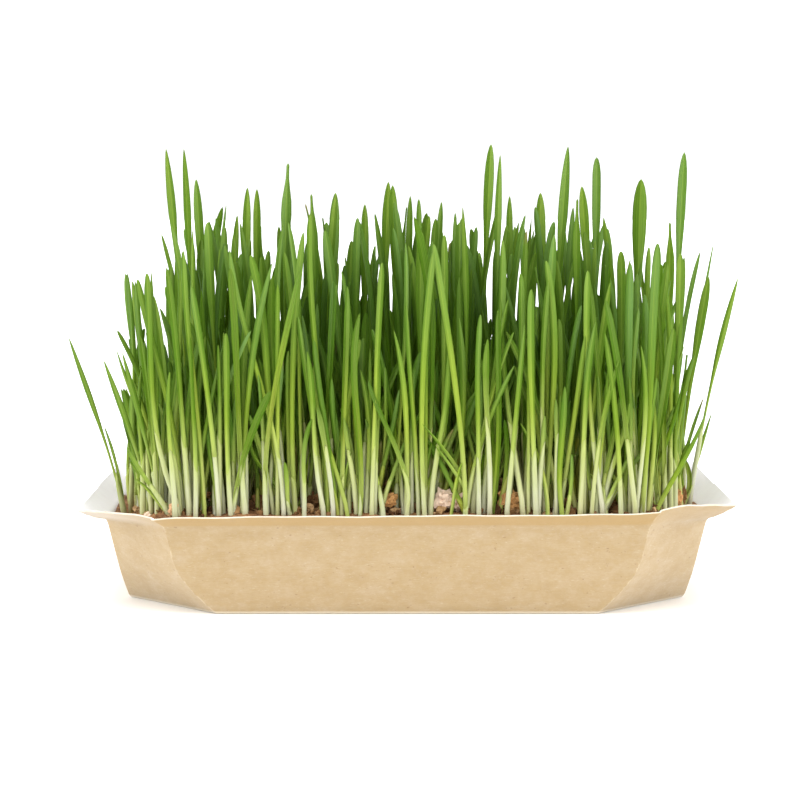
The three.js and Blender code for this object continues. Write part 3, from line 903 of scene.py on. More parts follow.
# %% Blocks of roots
BLOCK_TOP = 31.4
BLOCK_HALF = (9.7, 12.0)
BLOCK_CORNER = 4.0                  # how much is cut off a block's corners
PANEL_CORNER = 11.0                 # and off a corner that lies at one of the tray's corner panels
ROOT_SINK = 5.0                     # a shoot starts this far below its block's top
ROOT_MARGIN = 1.6                   # and at least this far inside its block's outline
# Each row of blocks: its Y, how many blocks it has, and how far apart they stand.
ROWS = ((-56, 8, 22.6), (-28, 9, 22.9), (0, 9, 22.9), (28, 9, 22.9), (56, 8, 22.6))
places = []
for y, columns, spacing in ROWS:
    places += [((column - (columns - 1) / 2) * spacing, y) for column in range(columns)]


def block_outline(place):
    """The eight corners of a block of roots, counterclockwise."""
    x, y = place
    outline = []
    for sign_x, sign_y in ((1, 1), (-1, 1), (-1, -1), (1, -1)):
        near_panel = abs(x) > 70 and abs(y) > 50 and sign_x * x > 0 and sign_y * y > 0
        cut = PANEL_CORNER if near_panel else BLOCK_CORNER
        along_x = (x + sign_x * BLOCK_HALF[0], y + sign_y * (BLOCK_HALF[1] - cut))
        along_y = (x + sign_x * (BLOCK_HALF[0] - cut), y + sign_y * BLOCK_HALF[1])
        outline += [along_x, along_y] if sign_x * sign_y > 0 else [along_y, along_x]
    return outline


def depth_inside(outline, x, y):
    """How far inside an outline a place lies, and less than 0 outside it."""
    depths = []
    for index, (ax, ay) in enumerate(outline):
        bx, by = outline[(index + 1) % len(outline)]
        depths.append(((bx - ax) * (y - ay) - (by - ay) * (x - ax)) / math.hypot(bx - ax, by - ay))
    return min(depths)


def root_inside(place, x, y):
    """Moves a root towards its block's middle until it lies well inside."""
    outline = block_outline(place)
    while depth_inside(outline, x, y) < ROOT_MARGIN:
        x += (place[0] - x) * 0.1
        y += (place[1] - y) * 0.1
    return x, y


print(len(places), "blocks of roots")

# %% [markdown]
# ## Blades that stand out
# A few dozen blades have grown faster than the rest, and their tips stand clear of the crowd. Seeded draws
# could give them too, but the outline of the grass would then be left to chance. So each has an entry of
# its own, and the other shoots of the solids stay below a line that gives the grass's height along the
# tray.

# %% Blades that stand out
# Root x and y, tip x and y, tip height, blade width, and the form of its tip.
STANDOUTS = (
    (-101, -36, -118, -46, 94, 2.4, "slender"), (-95, -50, -104, -60, 87, 2.8, "slender"),
    (-87, -62, -97, -66, 90, 2.6, "slender"), (-95, 0, -102, 0, 114, 2.8, "oval"),
    (-95, 28, -102, 28, 110, 2.8, "oval"), (-87, -22, -91, -20, 101, 3.0, "blunt"),
    (-76, -22, -85, -20, 159, 3.4, "slender"), (-77, 3, -80, 6, 159, 3.0, "slender"),
    (-73, 25, -78, 22, 148, 3.4, "oval"), (-66, -50, -69, -56, 134, 3.2, "blunt"),
    (-61, 6, -58, 8, 145, 3.4, "oval"), (-58, 50, -57, 54, 144, 3.2, "oval"),
    (-44, 20, -45, 24, 154, 4.2, "necked"), (-32, -58, -42, -62, 124, 2.8, "blunt"),
    (-33, -20, -34, -14, 143, 3.4, "necked"), (-29, 22, -27, 26, 143, 4.2, "oval"),
    (-20, -50, -27, -56, 131, 3.2, "blunt"), (-13, 2, -15, 6, 139, 3.4, "oval"),
    (-8, 24, -7, 28, 147, 3.8, "oval"), (-2, -6, -5, -2, 146, 3.4, "oval"),
    (3, -58, 4, -62, 131, 3.2, "blunt"), (22, -58, 20, -62, 139, 2.4, "slender"),
    (28, 24, 31, 28, 161, 3.8, "oval"), (30, -30, 32, -26, 157, 2.8, "slender"),
    (39, 5, 37, 10, 142, 2.8, "oval"), (52, 22, 49, 26, 143, 4.0, "oval"),
    (54, -6, 58, 0, 160, 3.8, "slender"), (59, -52, 57, -58, 142, 3.0, "necked"),
    (69, 50, 68, 52, 145, 3.8, "oval"), (67, 3, 70, 6, 156, 3.4, "blunt"),
    (71, -52, 74, -56, 124, 3.2, "blunt"), (85, 24, 87, 28, 148, 5.6, "oval"),
    (88, -8, 90, -4, 125, 4.0, "oval"), (97, 24, 99, 28, 132, 3.4, "necked"),
    (96, 0, 100, 6, 158, 3.6, "oval"), (96, -22, 97, -20, 122, 3.0, "blunt"),
    (98, -6, 109, -6, 113, 3.4, "oval"), (100, -34, 115, -38, 114, 2.6, "slender"),
    (100, -26, 108, -30, 66, 1.9, "slender"),
)
# The height of the grass along the tray, as pairs of X and height.
SKYLINE = ((-125, 92), (-104, 98), (-94, 108), (-84, 122), (-78, 142), (-60, 143), (-40, 145), (0, 143),
           (60, 144), (88, 138), (98, 124), (108, 112), (125, 100))


def skyline(x):
    return np.interp(x, [place for place, _ in SKYLINE], [height for _, height in SKYLINE])


print(len(STANDOUTS), "blades stand out, and the grass is up to", skyline(60), "mm high between them")

# %% The line that a shoot follows
STEM_WIDTH = 2.3
STEM_THICK = 1.9
BLADE_THICK = 1.05
# Stations on the way up: the share of the height, how broad the shoot is from stem to blade, and how round.
STATIONS = ((0.0, 0.0, 1.0), (0.26, 0.12, 0.75), (0.52, 0.92, 0.0), (0.8, 0.86, 0.0))
SLICES = 30 + 4 * np.arange(34)     # the heights at which shoots are compared


class Shoot:
    """One shoot: where it stands and ends, and how it bends, turns and broadens on the way."""

    def __init__(self, root, tip, width, facing, twist, bow, lean, form=None):
        self.root, self.tip, self.width, self.form = root, tip, width, form
        self.facing, self.twist, self.bow, self.lean = facing, twist, bow, lean
        self.bottom = BLOCK_TOP - ROOT_SINK
        self.across = math.atan2(tip[1] - root[1], tip[0] - root[0]) + math.pi / 2

    def centre(self, rise):
        """The middle of the shoot at some shares of its height."""
        reach = rise ** self.lean
        side = self.bow * np.sin(math.pi * rise)
        return np.stack([
            self.root[0] + (self.tip[0] - self.root[0]) * reach + side * math.cos(self.across),
            self.root[1] + (self.tip[1] - self.root[1]) * reach + side * math.sin(self.across),
            self.bottom + (self.tip[2] - self.bottom) * rise], axis=-1)

    def slices(self):
        """The shoot's two edges and its thickness at each of the heights in SLICES."""
        rises = np.array([rise for rise, _, _ in STATIONS] + [1.0])
        centres = self.centre(rises)
        angles = self.facing + self.twist * rises
        half = np.array([STEM_WIDTH + (self.width - STEM_WIDTH) * blade for _, blade, _ in STATIONS]) / 2
        along = np.stack([np.cos(angles[:-1]) * half, np.sin(angles[:-1]) * half], axis=1)
        along = np.vstack([along, [0, 0]])
        thick = [BLADE_THICK + (STEM_THICK - BLADE_THICK) * roundness for _, _, roundness in STATIONS]
        thick.append(0.0)
        columns = [centres[:, 0] - along[:, 0], centres[:, 1] - along[:, 1],
                   centres[:, 0] + along[:, 0], centres[:, 1] + along[:, 1], thick]
        cut = np.stack([np.interp(SLICES, centres[:, 2], column) for column in columns], axis=1)
        cut[SLICES >= self.tip[2]] = np.nan
        return cut


print("shoots are compared at", len(SLICES), "heights from", SLICES[0], "to", SLICES[-1], "mm")

# %% Keeping shoots apart
AIR = 0.35                          # between the shoots of the solids
RIM_AIR = 2.2                       # between a shoot and the tray
RIM_SLICES = 3                      # only the lowest slices can meet the tray
NEARBY = 16.0                       # shoots farther apart than this cannot touch


def point_to_line(px, py, line):
    """The distance from a point to a slice's line."""
    ax, ay, bx, by = (line[..., index] for index in range(4))
    dx, dy = bx - ax, by - ay
    share = np.clip(((px - ax) * dx + (py - ay) * dy) / (dx * dx + dy * dy + 1e-12), 0, 1)
    return np.hypot(px - ax - share * dx, py - ay - share * dy)


def turn_sign(line, px, py):
    """More than 0 for a point to the left of a slice's line and less than 0 to the right of it."""
    ax, ay, bx, by = (line[..., index] for index in range(4))
    return (bx - ax) * (py - ay) - (by - ay) * (px - ax)


def divides(line, other):
    """Whether the two ends of other lie on different sides of line."""
    first = turn_sign(line, other[..., 0], other[..., 1])
    second = turn_sign(line, other[..., 2], other[..., 3])
    return first * second < 0


def too_close(cut, others, air):
    """Whether a shoot's slices cross any of the slices in others or come nearer to them than air."""
    if not len(others):
        return False
    near = np.nanmin(np.hypot(others[..., 0] - cut[:, 0], others[..., 1] - cut[:, 1]), axis=1) <= NEARBY
    rival = others[near]
    if not len(rival):
        return False
    with np.errstate(invalid="ignore"):
        beside = np.hypot(rival[..., 0] - cut[:, 0], rival[..., 1] - cut[:, 1]) <= NEARBY
        crossing = divides(rival, cut) & divides(cut, rival)
        span = np.minimum.reduce([
            point_to_line(cut[:, 0], cut[:, 1], rival),
            point_to_line(cut[:, 2], cut[:, 3], rival),
            point_to_line(rival[..., 0], rival[..., 1], cut),
            point_to_line(rival[..., 2], rival[..., 3], cut)])
        close = span < 0.66 * (cut[:, 4] + rival[..., 4]) + air
    return bool((beside & (crossing | close)).any())


print("slices farther apart than", NEARBY, "mm are not compared")


# %% Keeping shoots clear of the tray
def wall_outline(inset):
    """The tray's eight corners at the top of its wall, moved in by inset."""
    slant = inset * math.tan(math.pi / 8)
    corners = []
    for index in range(8):
        x, y, _ = level_corner(2, index)
        is_end = index % 4 in (0, 3)
        cut_x, cut_y = (inset, slant) if is_end else (slant, inset)
        corners.append((math.copysign(abs(x) - cut_x, x), math.copysign(abs(y) - cut_y, y)))
    return corners


SOLID_BOARD = 1.0                   # the board is a little thicker in the solids
RIM_OUTLINE = wall_outline(SOLID_BOARD + RIM_AIR)


def touches_tray(cut, outline):
    for x1, y1, x2, y2, _ in cut[:RIM_SLICES]:
        if depth_inside(outline, x1, y1) < 0 or depth_inside(outline, x2, y2) < 0:
            return True
    return False


taken = []                          # the slices of every shoot that has found its place


def takes_place(shoot, air, outline=None):
    """Whether a shoot keeps clear of the others and of an outline. If so, its place is taken."""
    cut = shoot.slices()
    if outline and touches_tray(cut, outline):
        return False
    if too_close(cut, np.array(taken), air):
        return False
    taken.append(cut)
    return True


print("the shoots of the solids are kept at least", AIR, "mm apart")

# %% Plant the shoots of the solids
SHOOTS_PER_BUNCH = 10
TRIES = 240
SPREAD = 1.03                       # tips stand a little farther out than roots
LEAST_HEIGHT = 0.66                 # the lowest shoots, as a share of the skyline


def nearest_place(x, y):
    """The number of the block that a root belongs to."""
    spans = [max(abs(x - px) / BLOCK_HALF[0], abs(y - py) / BLOCK_HALF[1]) for px, py in places]
    return spans.index(min(spans))


def draw_shoot(place):
    x = place[0] + draws.between(-1, 1) * BLOCK_HALF[0]
    y = place[1] + draws.between(-1, 1) * BLOCK_HALF[1]
    root = root_inside(place, x, y)
    tip_x = root[0] * SPREAD + draws.between(-7, 7)
    tip_y = root[1] * SPREAD + draws.between(-7, 7)
    height = skyline(tip_x) * (LEAST_HEIGHT + (1.0 - LEAST_HEIGHT) * draws.share() ** 0.75)
    return Shoot(root, (tip_x, tip_y, height), draws.between(3.0, 4.6), draws.between(-0.9, 0.9),
                 draws.between(-0.7, 0.7), draws.between(-3, 3), draws.between(1.1, 1.8))


bunches = [[] for _ in places]
for root_x, root_y, tip_x, tip_y, height, width, form in STANDOUTS:
    home = nearest_place(root_x, root_y)
    root = root_inside(places[home], root_x, root_y)
    shoot = Shoot(root, (tip_x, tip_y, height), width, draws.between(-0.4, 0.4), draws.between(-0.4, 0.4),
                  draws.between(-1, 1), 1.3, form)
    if takes_place(shoot, AIR):
        bunches[home].append(shoot)
for place, bunch in zip(places, bunches):
    for attempt in range(TRIES):
        if len(bunch) >= SHOOTS_PER_BUNCH:
            break
        shoot = draw_shoot(place)
        if takes_place(shoot, AIR, RIM_OUTLINE):
            bunch.append(shoot)
print("planted", sum(map(len, bunches)), "shoots of the solids in", len(bunches), "bunches")

# %% [markdown]
# ## The front row, shoot by shoot
# Everyone who looks at the tray meets the front row first: pale stems that cross at all angles just behind
# the rim. Seeded draws rarely give it the same character, so most of these shoots have a place of their
# own in a list. An entry holds the shoot's X at its foot, at a third and two thirds of its height and at
# its tip, all as seen on one upright plane, then the tip's height, the blade's width, the height up to
# which its sheath is pale (0 for a shoot without a pale sheath) and its tone from light to dark. How deep
# in the tray a shoot stands is found by trying: as near to the rim as the others leave room. Where there
# is none, the shoot is left out.

# %% Shoots of the front row
FRONT_PLANE = -68.0                 # the Y of the upright plane
FRONT_FOOT = 35.4                   # the height at which a shoot comes into view above the rim
FRONT_ROW = (
    (-96, -99, -103, -108, 76, 1.7, 52, 0.4), (-94, -95, -96, -98, 60, 1.5, 46, 0.3),
    (-90, -90, -91, -91, 84, 1.8, 52, 0.5), (-87, -88, -88, -87, 72, 1.7, 54, 0.2),
    (-85, -86, -88, -91, 96, 2.0, 56, 0.5), (-81, -86, -91, -95, 58, 1.8, 44, 0.5),
    (-79, -80, -81, -80, 84, 1.9, 54, 0.3), (-72, -72, -73, -75, 96, 2.1, 52, 0.6),
    (-92, -93, -95, -97, 68, 1.5, 45, 0.9), (-82, -85, -88, -92, 47, 1.7, 35, 0.6),
    (-83, -86, -92, -97, 90, 2.1, 50, 0.1), (-91, -91, -94, -98, 90, 1.9, 47, 0.6),
    (-89, -90, -92, -95, 117, 2.3, 57, 0.5), (-77, -85, -87, -87, 117, 2.6, 62, 0.4),
    (-77, -79, -85, -92, 115, 2.3, 49, 0.4), (-74, -76, -78, -80, 119, 2.7, 60, 0.6),
    (-69, -71, -74, -77, 125, 2.4, 0, 0.15), (-64, -66, -69, -72, 113, 3.1, 60, 0.3),
    (-60, -61, -61, -60, 97, 2.3, 51, 0.3), (-55, -57, -58, -60, 119, 3.1, 55, 0.4),
    (-56, -55, -52, -48, 121, 2.7, 50, 0.5), (-48, -47, -42, -37, 121, 2.8, 47, 0),
    (-42, -46, -54, -60, 125, 2.4, 57, 0.2), (-40, -46, -48, -51, 123, 2.9, 50, 0.4),
    (-38, -39, -38, -35, 131, 2.6, 47, 0.4), (-39, -44, -51, -53, 62, 1.7, 0, 0.3),
    (-38, -35, -34, -32, 57, 1.5, 0, 0.3), (-35, -35, -35, -33, 68, 1.9, 48, 0.7),
    (-28, -31, -32, -34, 91, 2.3, 58, 0.3), (-20, -25, -30, -33, 87, 2.1, 0, 0.25),
    (-27, -29, -32, -32, 137, 2.6, 0, 0.3), (-25, -23, -20, -17, 95, 2.3, 47, 0.1),
    (-16, -16, -18, -18, 104, 2.7, 40, 0.45), (-14, -13, -13, -15, 84, 2.3, 48, 0.2),
    (-12, -11, -10, -10, 121, 2.8, 57, 0.2), (0, -1, -7, -12, 81, 2.1, 50, 0.5),
    (-8, -9, -10, -11, 52, 1.5, 42, 0.3), (0, 0, -1, -5, 98, 2.8, 47, 0.15),
    (6, 5, 6, 9, 125, 2.8, 50, 0.2), (8, 10, 13, 14, 90, 2.3, 57, 0.5),
    (20, 18, 14, 10, 127, 2.8, 38, 0.15), (15, 16, 17, 19, 53, 1.5, 0, 0.2),
    (28, 28, 27, 28, 95, 2.6, 67, 0.2), (29, 31, 31, 30, 105, 2.4, 0, 0.6),
    (34, 36, 38, 40, 100, 2.3, 56, 0.4), (40, 36, 33, 31, 108, 2.3, 66, 0.5),
    (44, 43, 42, 41, 112, 2.7, 55, 0.15), (48, 47, 44, 39, 66, 2, 0, 0.05),
    (47, 46, 46, 47, 114, 2.4, 68, 0.4), (47, 49, 50, 49, 121, 2.8, 40, 0.2),
    (48, 51, 52, 53, 101, 2.6, 0, 0.3), (53, 52, 53, 54, 79, 3.1, 0, 0.5),
    (52, 55, 58, 61, 96, 2.3, 46, 0.15), (59, 60, 61, 63, 101, 2.7, 60, 0.4),
    (67, 63, 61, 61, 118, 2.6, 61, 0), (73, 72, 70, 66, 97, 2.4, 47, 0.4),
    (67, 69, 73, 76, 73, 2.4, 53, 0.25), (68, 67, 66, 62, 49, 1.5, 49, 0.1),
    (78, 75, 72, 69, 108, 2.6, 60, 0.6), (78, 80, 81, 79, 93, 2.3, 60, 0.3),
    (80, 82, 83, 84, 127, 3.2, 40, 0.5), (86, 84, 85, 86, 120, 3.1, 40, 0.2),
    (88, 90, 91, 90, 128, 2.6, 0, 0.1), (85, 91, 97, 101, 70, 2.3, 0, 0.6),
    (93, 94, 95, 96, 81, 1.9, 47, 0.7), (92, 92, 94, 98, 68, 1.6, 0, 0.6),
)
print("the list holds", len(FRONT_ROW), "shoots")


# %% A shoot through four places
def move_along_sight(x, y_from, y_to):
    """The X at one depth that the camera sees in line with an X at another depth."""
    return CAMERA_PLACE[0] + (x - CAMERA_PLACE[0]) * (y_to - CAMERA_PLACE[1]) / (y_from - CAMERA_PLACE[1])


class FrontShoot(Shoot):
    """A shoot whose line passes through four places at equal steps of height."""

    def __init__(self, places_x, tip_z, width, depth, tip_depth, facing, twist):
        depths = depth + (tip_depth - depth) * np.linspace(0, 1, 4)
        self.line = [move_along_sight(x, FRONT_PLANE, y) for x, y in zip(places_x, depths)]
        root = (self.line[0], depth)
        tip = (self.line[3], tip_depth, tip_z)
        super().__init__(root, tip, width, facing, twist, 0.0, 1.0)

    def centre(self, rise):
        height = self.bottom + (self.tip[2] - self.bottom) * rise
        share = np.maximum((height - FRONT_FOOT) / (self.tip[2] - FRONT_FOOT), 0)
        first, second, third, fourth = self.line
        # The two bends are 0 at both ends, and each is 0 where the other one decides.
        bend_low = 4.5 * (share * (1 - share)) * ((2 - 3 * share) * (second - (2 * first + fourth) / 3))
        bend_high = 4.5 * (share * (1 - share)) * ((3 * share - 1) * (third - (first + 2 * fourth) / 3))
        x = first + (fourth - first) * share + bend_low + bend_high
        y = self.root[1] + (self.tip[1] - self.root[1]) * share
        return np.stack([x, y, height], axis=-1)


print("X 50 on the plane is in line with X", round(move_along_sight(50, FRONT_PLANE, 0), 1), "at Y 0")

# %% Find room for the front row
FRONT_DEPTH = -71.0                 # the first depth that is tried
FRONT_STEP = 1.5                    # and how much deeper the next ones are
TIP_LEANS = (-4, 0, 5)              # at each depth the tip is tried nearer, upright and farther
FRONT_TRIES = 36
FRONT_EDGE = 0.975                  # no root stands nearer to the wall than this share
FRONT_AIR = -1.1                    # less than 0: these slim leaves may brush one another
FRONT_OUTLINE = wall_outline(BOARD + 0.9)
front_draws = Draws(77)
front_row = []


def place_front(places_x, tip_z, width, air):
    """The shoot as near to the rim as it finds room, or None."""
    facing = front_draws.between(-0.35, 0.35)
    twist = front_draws.between(-0.5, 0.5)
    for attempt in range(FRONT_TRIES):
        steps, choice = divmod(attempt, len(TIP_LEANS))
        depth = FRONT_DEPTH + FRONT_STEP * steps
        tip_depth = depth + TIP_LEANS[choice] * min(1.0, tip_z / 110)
        shoot = FrontShoot(places_x, tip_z, width, depth, tip_depth, facing, twist)
        if inside_share(*shoot.root) < FRONT_EDGE and takes_place(shoot, air, FRONT_OUTLINE):
            return shoot
    return None


for *places_x, tip_z, width, pale_top, tone in FRONT_ROW:
    shoot = place_front(places_x, tip_z, width, FRONT_AIR)
    if shoot:
        front_row.append((shoot, pale_top, tone))
print("placed", len(front_row), "of", len(FRONT_ROW), "shoots of the front row")

# %% Thin shoots fill the row between them
FILLERS = 84
FILLER_AIR = -1.7
ROW_HALF = 98                       # the row reaches this far to each side
# Where the bed shows between the stems: stretches of X, as seen from the front.
BARE = ((-70, -66), (-54, -49), (-39, -36), (-35, -29), (-10.5, -1), (10, 20), (30, 39), (53, 58), (68, 76),
        (82, 85))
for number in range(FILLERS):
    x = -ROW_HALF + 2 * ROW_HALF * (number + front_draws.share()) / FILLERS
    lean = 16 * front_draws.between(-1, 1) ** 3
    tip_z = front_draws.between(62, 116)
    width = front_draws.between(1.7, 2.5)
    if not any(low < x < high for low, high in BARE):
        shoot = place_front((x, x + 0.2 * lean, x + 0.55 * lean, x + lean), tip_z, width, FILLER_AIR)
        if shoot:
            front_row.append((shoot, front_draws.between(44, 62), front_draws.between(0.1, 0.7)))
print("with the thin ones", len(front_row))


# %% [markdown]
# ## Tips against the sky
# From the front the eye reads the outline of the grass first, so its most telling tips get leaves of their
# own, whatever the seed has planted below them. An entry holds the tip's X and height as seen on the
# upright plane through the tray's middle, the leaf's width, the form of its tip, and how far it leans. How
# deep in the tray it stands is found by trying again, nearer and farther by turns.

# %% Leaves of the outline
SKY_LEAVES = (
    (-102.3, 114, 2.0, "oval", -8), (-98.6, 111, 2.2, "oval", -6), (-93.2, 115, 1.6, "slender", -5),
    (-86.6, 117, 3.2, "blunt", -3), (-83.0, 122, 2.6, "blunt", -2), (-72.8, 133, 2.9, "blunt", -3),
    (-65.9, 131, 2.6, "blunt", 2), (-66.3, 139, 1.8, "slender", 6), (-61.9, 135, 2.6, "oval", 1),
    (-41.2, 129, 2.6, "blunt", -2), (-26.7, 143, 2.6, "oval", 3), (-20.2, 126, 3.0, "blunt", 0),
    (2.0, 142, 2.6, "oval", 2), (4.9, 141, 2.2, "blunt", -2), (7.1, 135, 2.6, "blunt", 3),
    (12.2, 140, 2.6, "oval", 2), (10.0, 134, 2.6, "blunt", 0), (17.3, 136, 2.2, "oval", -3),
    (20.5, 134, 2.6, "blunt", 1), (24.5, 131, 2.6, "blunt", 1), (39.1, 121, 3.0, "blunt", 0),
    (44.9, 134, 2.0, "slender", 3), (60.1, 138, 2.6, "oval", 1), (92.8, 117, 2.8, "oval", 2),
    (101.2, 120, 2.2, "oval", 2), (112.1, 126, 1.3, "slender", 14),
)
SKY_DEPTHS = (0, -12, 12, -24, 24, -36, 36, 48)
SKY_TRIES = 24
CROWD_EDGE = 0.945                  # no root in the crowd stands nearer to the wall than this share
CROWD_AIR = -2.3                    # less than 0: leaves in the crowd may touch, but slices never cross
sky_draws = Draws(53)
sky_leaves = []
for tip_x, tip_z, width, form, lean in SKY_LEAVES:
    turn = sky_draws.between(-0.3, 0.3)
    twist = sky_draws.between(-0.5, 0.5)
    for attempt in range(SKY_TRIES):
        rounds, choice = divmod(attempt, len(SKY_DEPTHS))
        depth = SKY_DEPTHS[choice] + 3 * rounds
        away = (depth - CAMERA_PLACE[1]) / -CAMERA_PLACE[1]
        x = CAMERA_PLACE[0] + (tip_x - CAMERA_PLACE[0]) * away
        z = CAMERA_PLACE[2] + (tip_z - CAMERA_PLACE[2]) * away
        shoot = Shoot((x - lean, depth), (x, depth + 2, z), width, turn, twist, 1.5, 1.3, form)
        if inside_share(*shoot.root) < CROWD_EDGE and takes_place(shoot, CROWD_AIR):
            sky_leaves.append(shoot)
            break
print("placed", len(sky_leaves), "of", len(SKY_LEAVES), "leaves of the outline")


# %% [markdown]
# ## More shoots than the solids hold
# A real tray is far more crowded than the solids can carry, so nearly three more shoots are added for each
# of theirs. The extra ones come from a generator of their own, so the solids' shoots keep their places.
# They stay lower and lean more, as shoots do that had to find their way between others. Leaves in such a
# crowd touch, so these keep less distance from what already stands.

# %% Extra shoots between the planned ones
EXTRA_PER_BUNCH = (40, 28)          # in the front row of bunches and behind it
EXTRA_TRIES = 260
EXTRA_RISES = ((0.38, 0.34), (0.46, 0.28))   # least height and how much more, before and behind the middle
EXTRA_MIDDLE = 15                   # the Y at which the one gives way to the other
EXTRA_HALF = (11.4, 14.0)           # how far from its block's middle an extra shoot may stand
BARE_DEPTH = -42.0                  # nearer than this the bare stretches of the bed get no extra shoots
EXTRA_EDGE = 97.0                   # no tip reaches farther out than this
extra_draws = Draws(811)


def on_bare(x, y):
    """Whether a root would hide one of the bare stretches of the bed."""
    seen = move_along_sight(x, y, FRONT_PLANE)
    return y < BARE_DEPTH and any(low < seen < high for low, high in BARE)


def draw_extra(place):
    x = place[0] + extra_draws.between(-1, 1) * EXTRA_HALF[0]
    y = place[1] + extra_draws.between(-1, 1) * EXTRA_HALF[1]
    least, more = EXTRA_RISES[0 if y < EXTRA_MIDDLE else 1]
    reach = skyline(x) * (least + more * extra_draws.share() ** 0.8)
    side = extra_draws.between(-1, 1)
    tip_x = min(max(x * SPREAD + 22 * side * abs(side), -EXTRA_EDGE), EXTRA_EDGE)
    tip = (tip_x, y * SPREAD + extra_draws.between(-9, 9), reach)
    width = extra_draws.between(2.4, 4.1) * (0.55 + 0.45 * min(1.0, reach / 95))
    return Shoot((x, y), tip, width, extra_draws.between(-1.3, 1.3),
                 extra_draws.between(-1.0, 1.0), extra_draws.between(-5, 5), extra_draws.between(1.0, 2.0))


extras = [[] for _ in places]
for shoot in sky_leaves:
    extras[nearest_place(*shoot.root)].append(shoot)
for place, bunch in zip(places, extras):
    for attempt in range(EXTRA_TRIES):
        if len(bunch) >= EXTRA_PER_BUNCH[0 if place[1] < -50 else 1]:
            break
        shoot = draw_extra(place)
        if inside_share(*shoot.root) > CROWD_EDGE or on_bare(*shoot.root):
            continue
        if takes_place(shoot, CROWD_AIR, RIM_OUTLINE):
            bunch.append(shoot)
added = sum(map(len, extras))
print("added", added, "shoots and leaves,", len(sky_leaves), "of them leaves of the outline")


# %% [markdown]
# ## The form of a shoot
# A grass leaf is rolled up when it leaves its sheath and opens as it climbs: low down it is a thin tube,
# higher up a gutter with a shallow fold along its middle, and its tip rounds off quickly. So each
# cross-section is two curved halves that meet at the fold, and they straighten on the way up while their
# length stays the width of the leaf. One rule gives both narrow stems and broad blades. Each leaf has two
# faces and real thickness.

# %% The tip of a leaf
# Length over which a tip rounds off, how pointed it is, length of its thin neck and of the shoulder below.
TIP_FORMS = {
    "blunt": (8.0, 0.5, 0.0, 0.5),
    "oval": (14.0, 0.58, 0.0, 0.5),
    "slender": (30.0, 0.62, 0.0, 0.5),
    "necked": (3.0, 0.5, 4.0, 14.0),
}
NECK_WIDTH = 0.28
ROUNDER_TIP = 0.68                  # the extra, narrower leaves round off over a shorter length
WAIST = 24.0                        # length over which a blade narrows below its broad part, in millimetres
LEAST_WIDTH = 0.03                  # the very end of a leaf keeps this share of its width


def smooth_share(value):
    """0 below 0 and 1 above 1, with a soft start and end between them."""
    held = np.clip(value, 0, 1)
    return held * held * (3 - 2 * held)


def tip_outline(distance, form, stretch, broad, slimmer):
    """The share of a leaf's full width at some distances below its tip, in millimetres. Below its broad
    part the blade gets slimmer by a share."""
    round_length, pointed, neck, shoulder = TIP_FORMS[form]
    left = np.clip(distance / (round_length * stretch), 0, 1)
    rounded = (1 - (1 - left) ** 2) ** pointed
    necked = NECK_WIDTH + (1 - NECK_WIDTH) * smooth_share((distance / stretch - neck) / shoulder)
    waist = 1 - slimmer * smooth_share((distance - broad) / WAIST)
    return np.maximum(np.minimum(rounded, necked if neck else 1.0) * waist, LEAST_WIDTH)


for form, measures in TIP_FORMS.items():
    print(form, "tips round off over", measures[0], "mm")

# %% How a leaf is rolled, opened and curled
STEM_ROLL = 1.46                    # how wide the rolled leaf is above its sheath, in millimetres
LEAF_THICK = 0.3
END_THIN = 8.0                      # a leaf thins out over this length below its tip, in millimetres
OPEN_FROM = 0.08                    # the share of the way up at which a leaf starts to unroll
OPEN_OVER = 0.72                    # and over how much of the way it does so
CURL_START = 0.6                    # the share of its height above which a leaf curls aside
CURL_WAY = np.array([1.0, 0.15, -0.1])
FULL_CURL = 115.0                   # leaves shorter than this curl less, in millimetres
TURN_SHARE = 0.5                    # a leaf makes this share of the turn that its shoot was planned with
GREEN_REACH = 115.0                 # a leaf as tall as this has the plain climb of colours
GREENER = 0.6                       # a shorter one runs through them sooner, by this share
RISE_STEP = 0.004                   # step at which the direction of a leaf is measured


def leaf_stations(low, high, count):
    """Rises along a leaf, closer together near its tip."""
    even = np.linspace(0, 1, count)
    return low + (high - low) * (1 - (1 - even) ** 1.7)


print("a leaf is rolled to about", STEM_ROLL, "mm and is at most", LEAF_THICK, "mm thick")


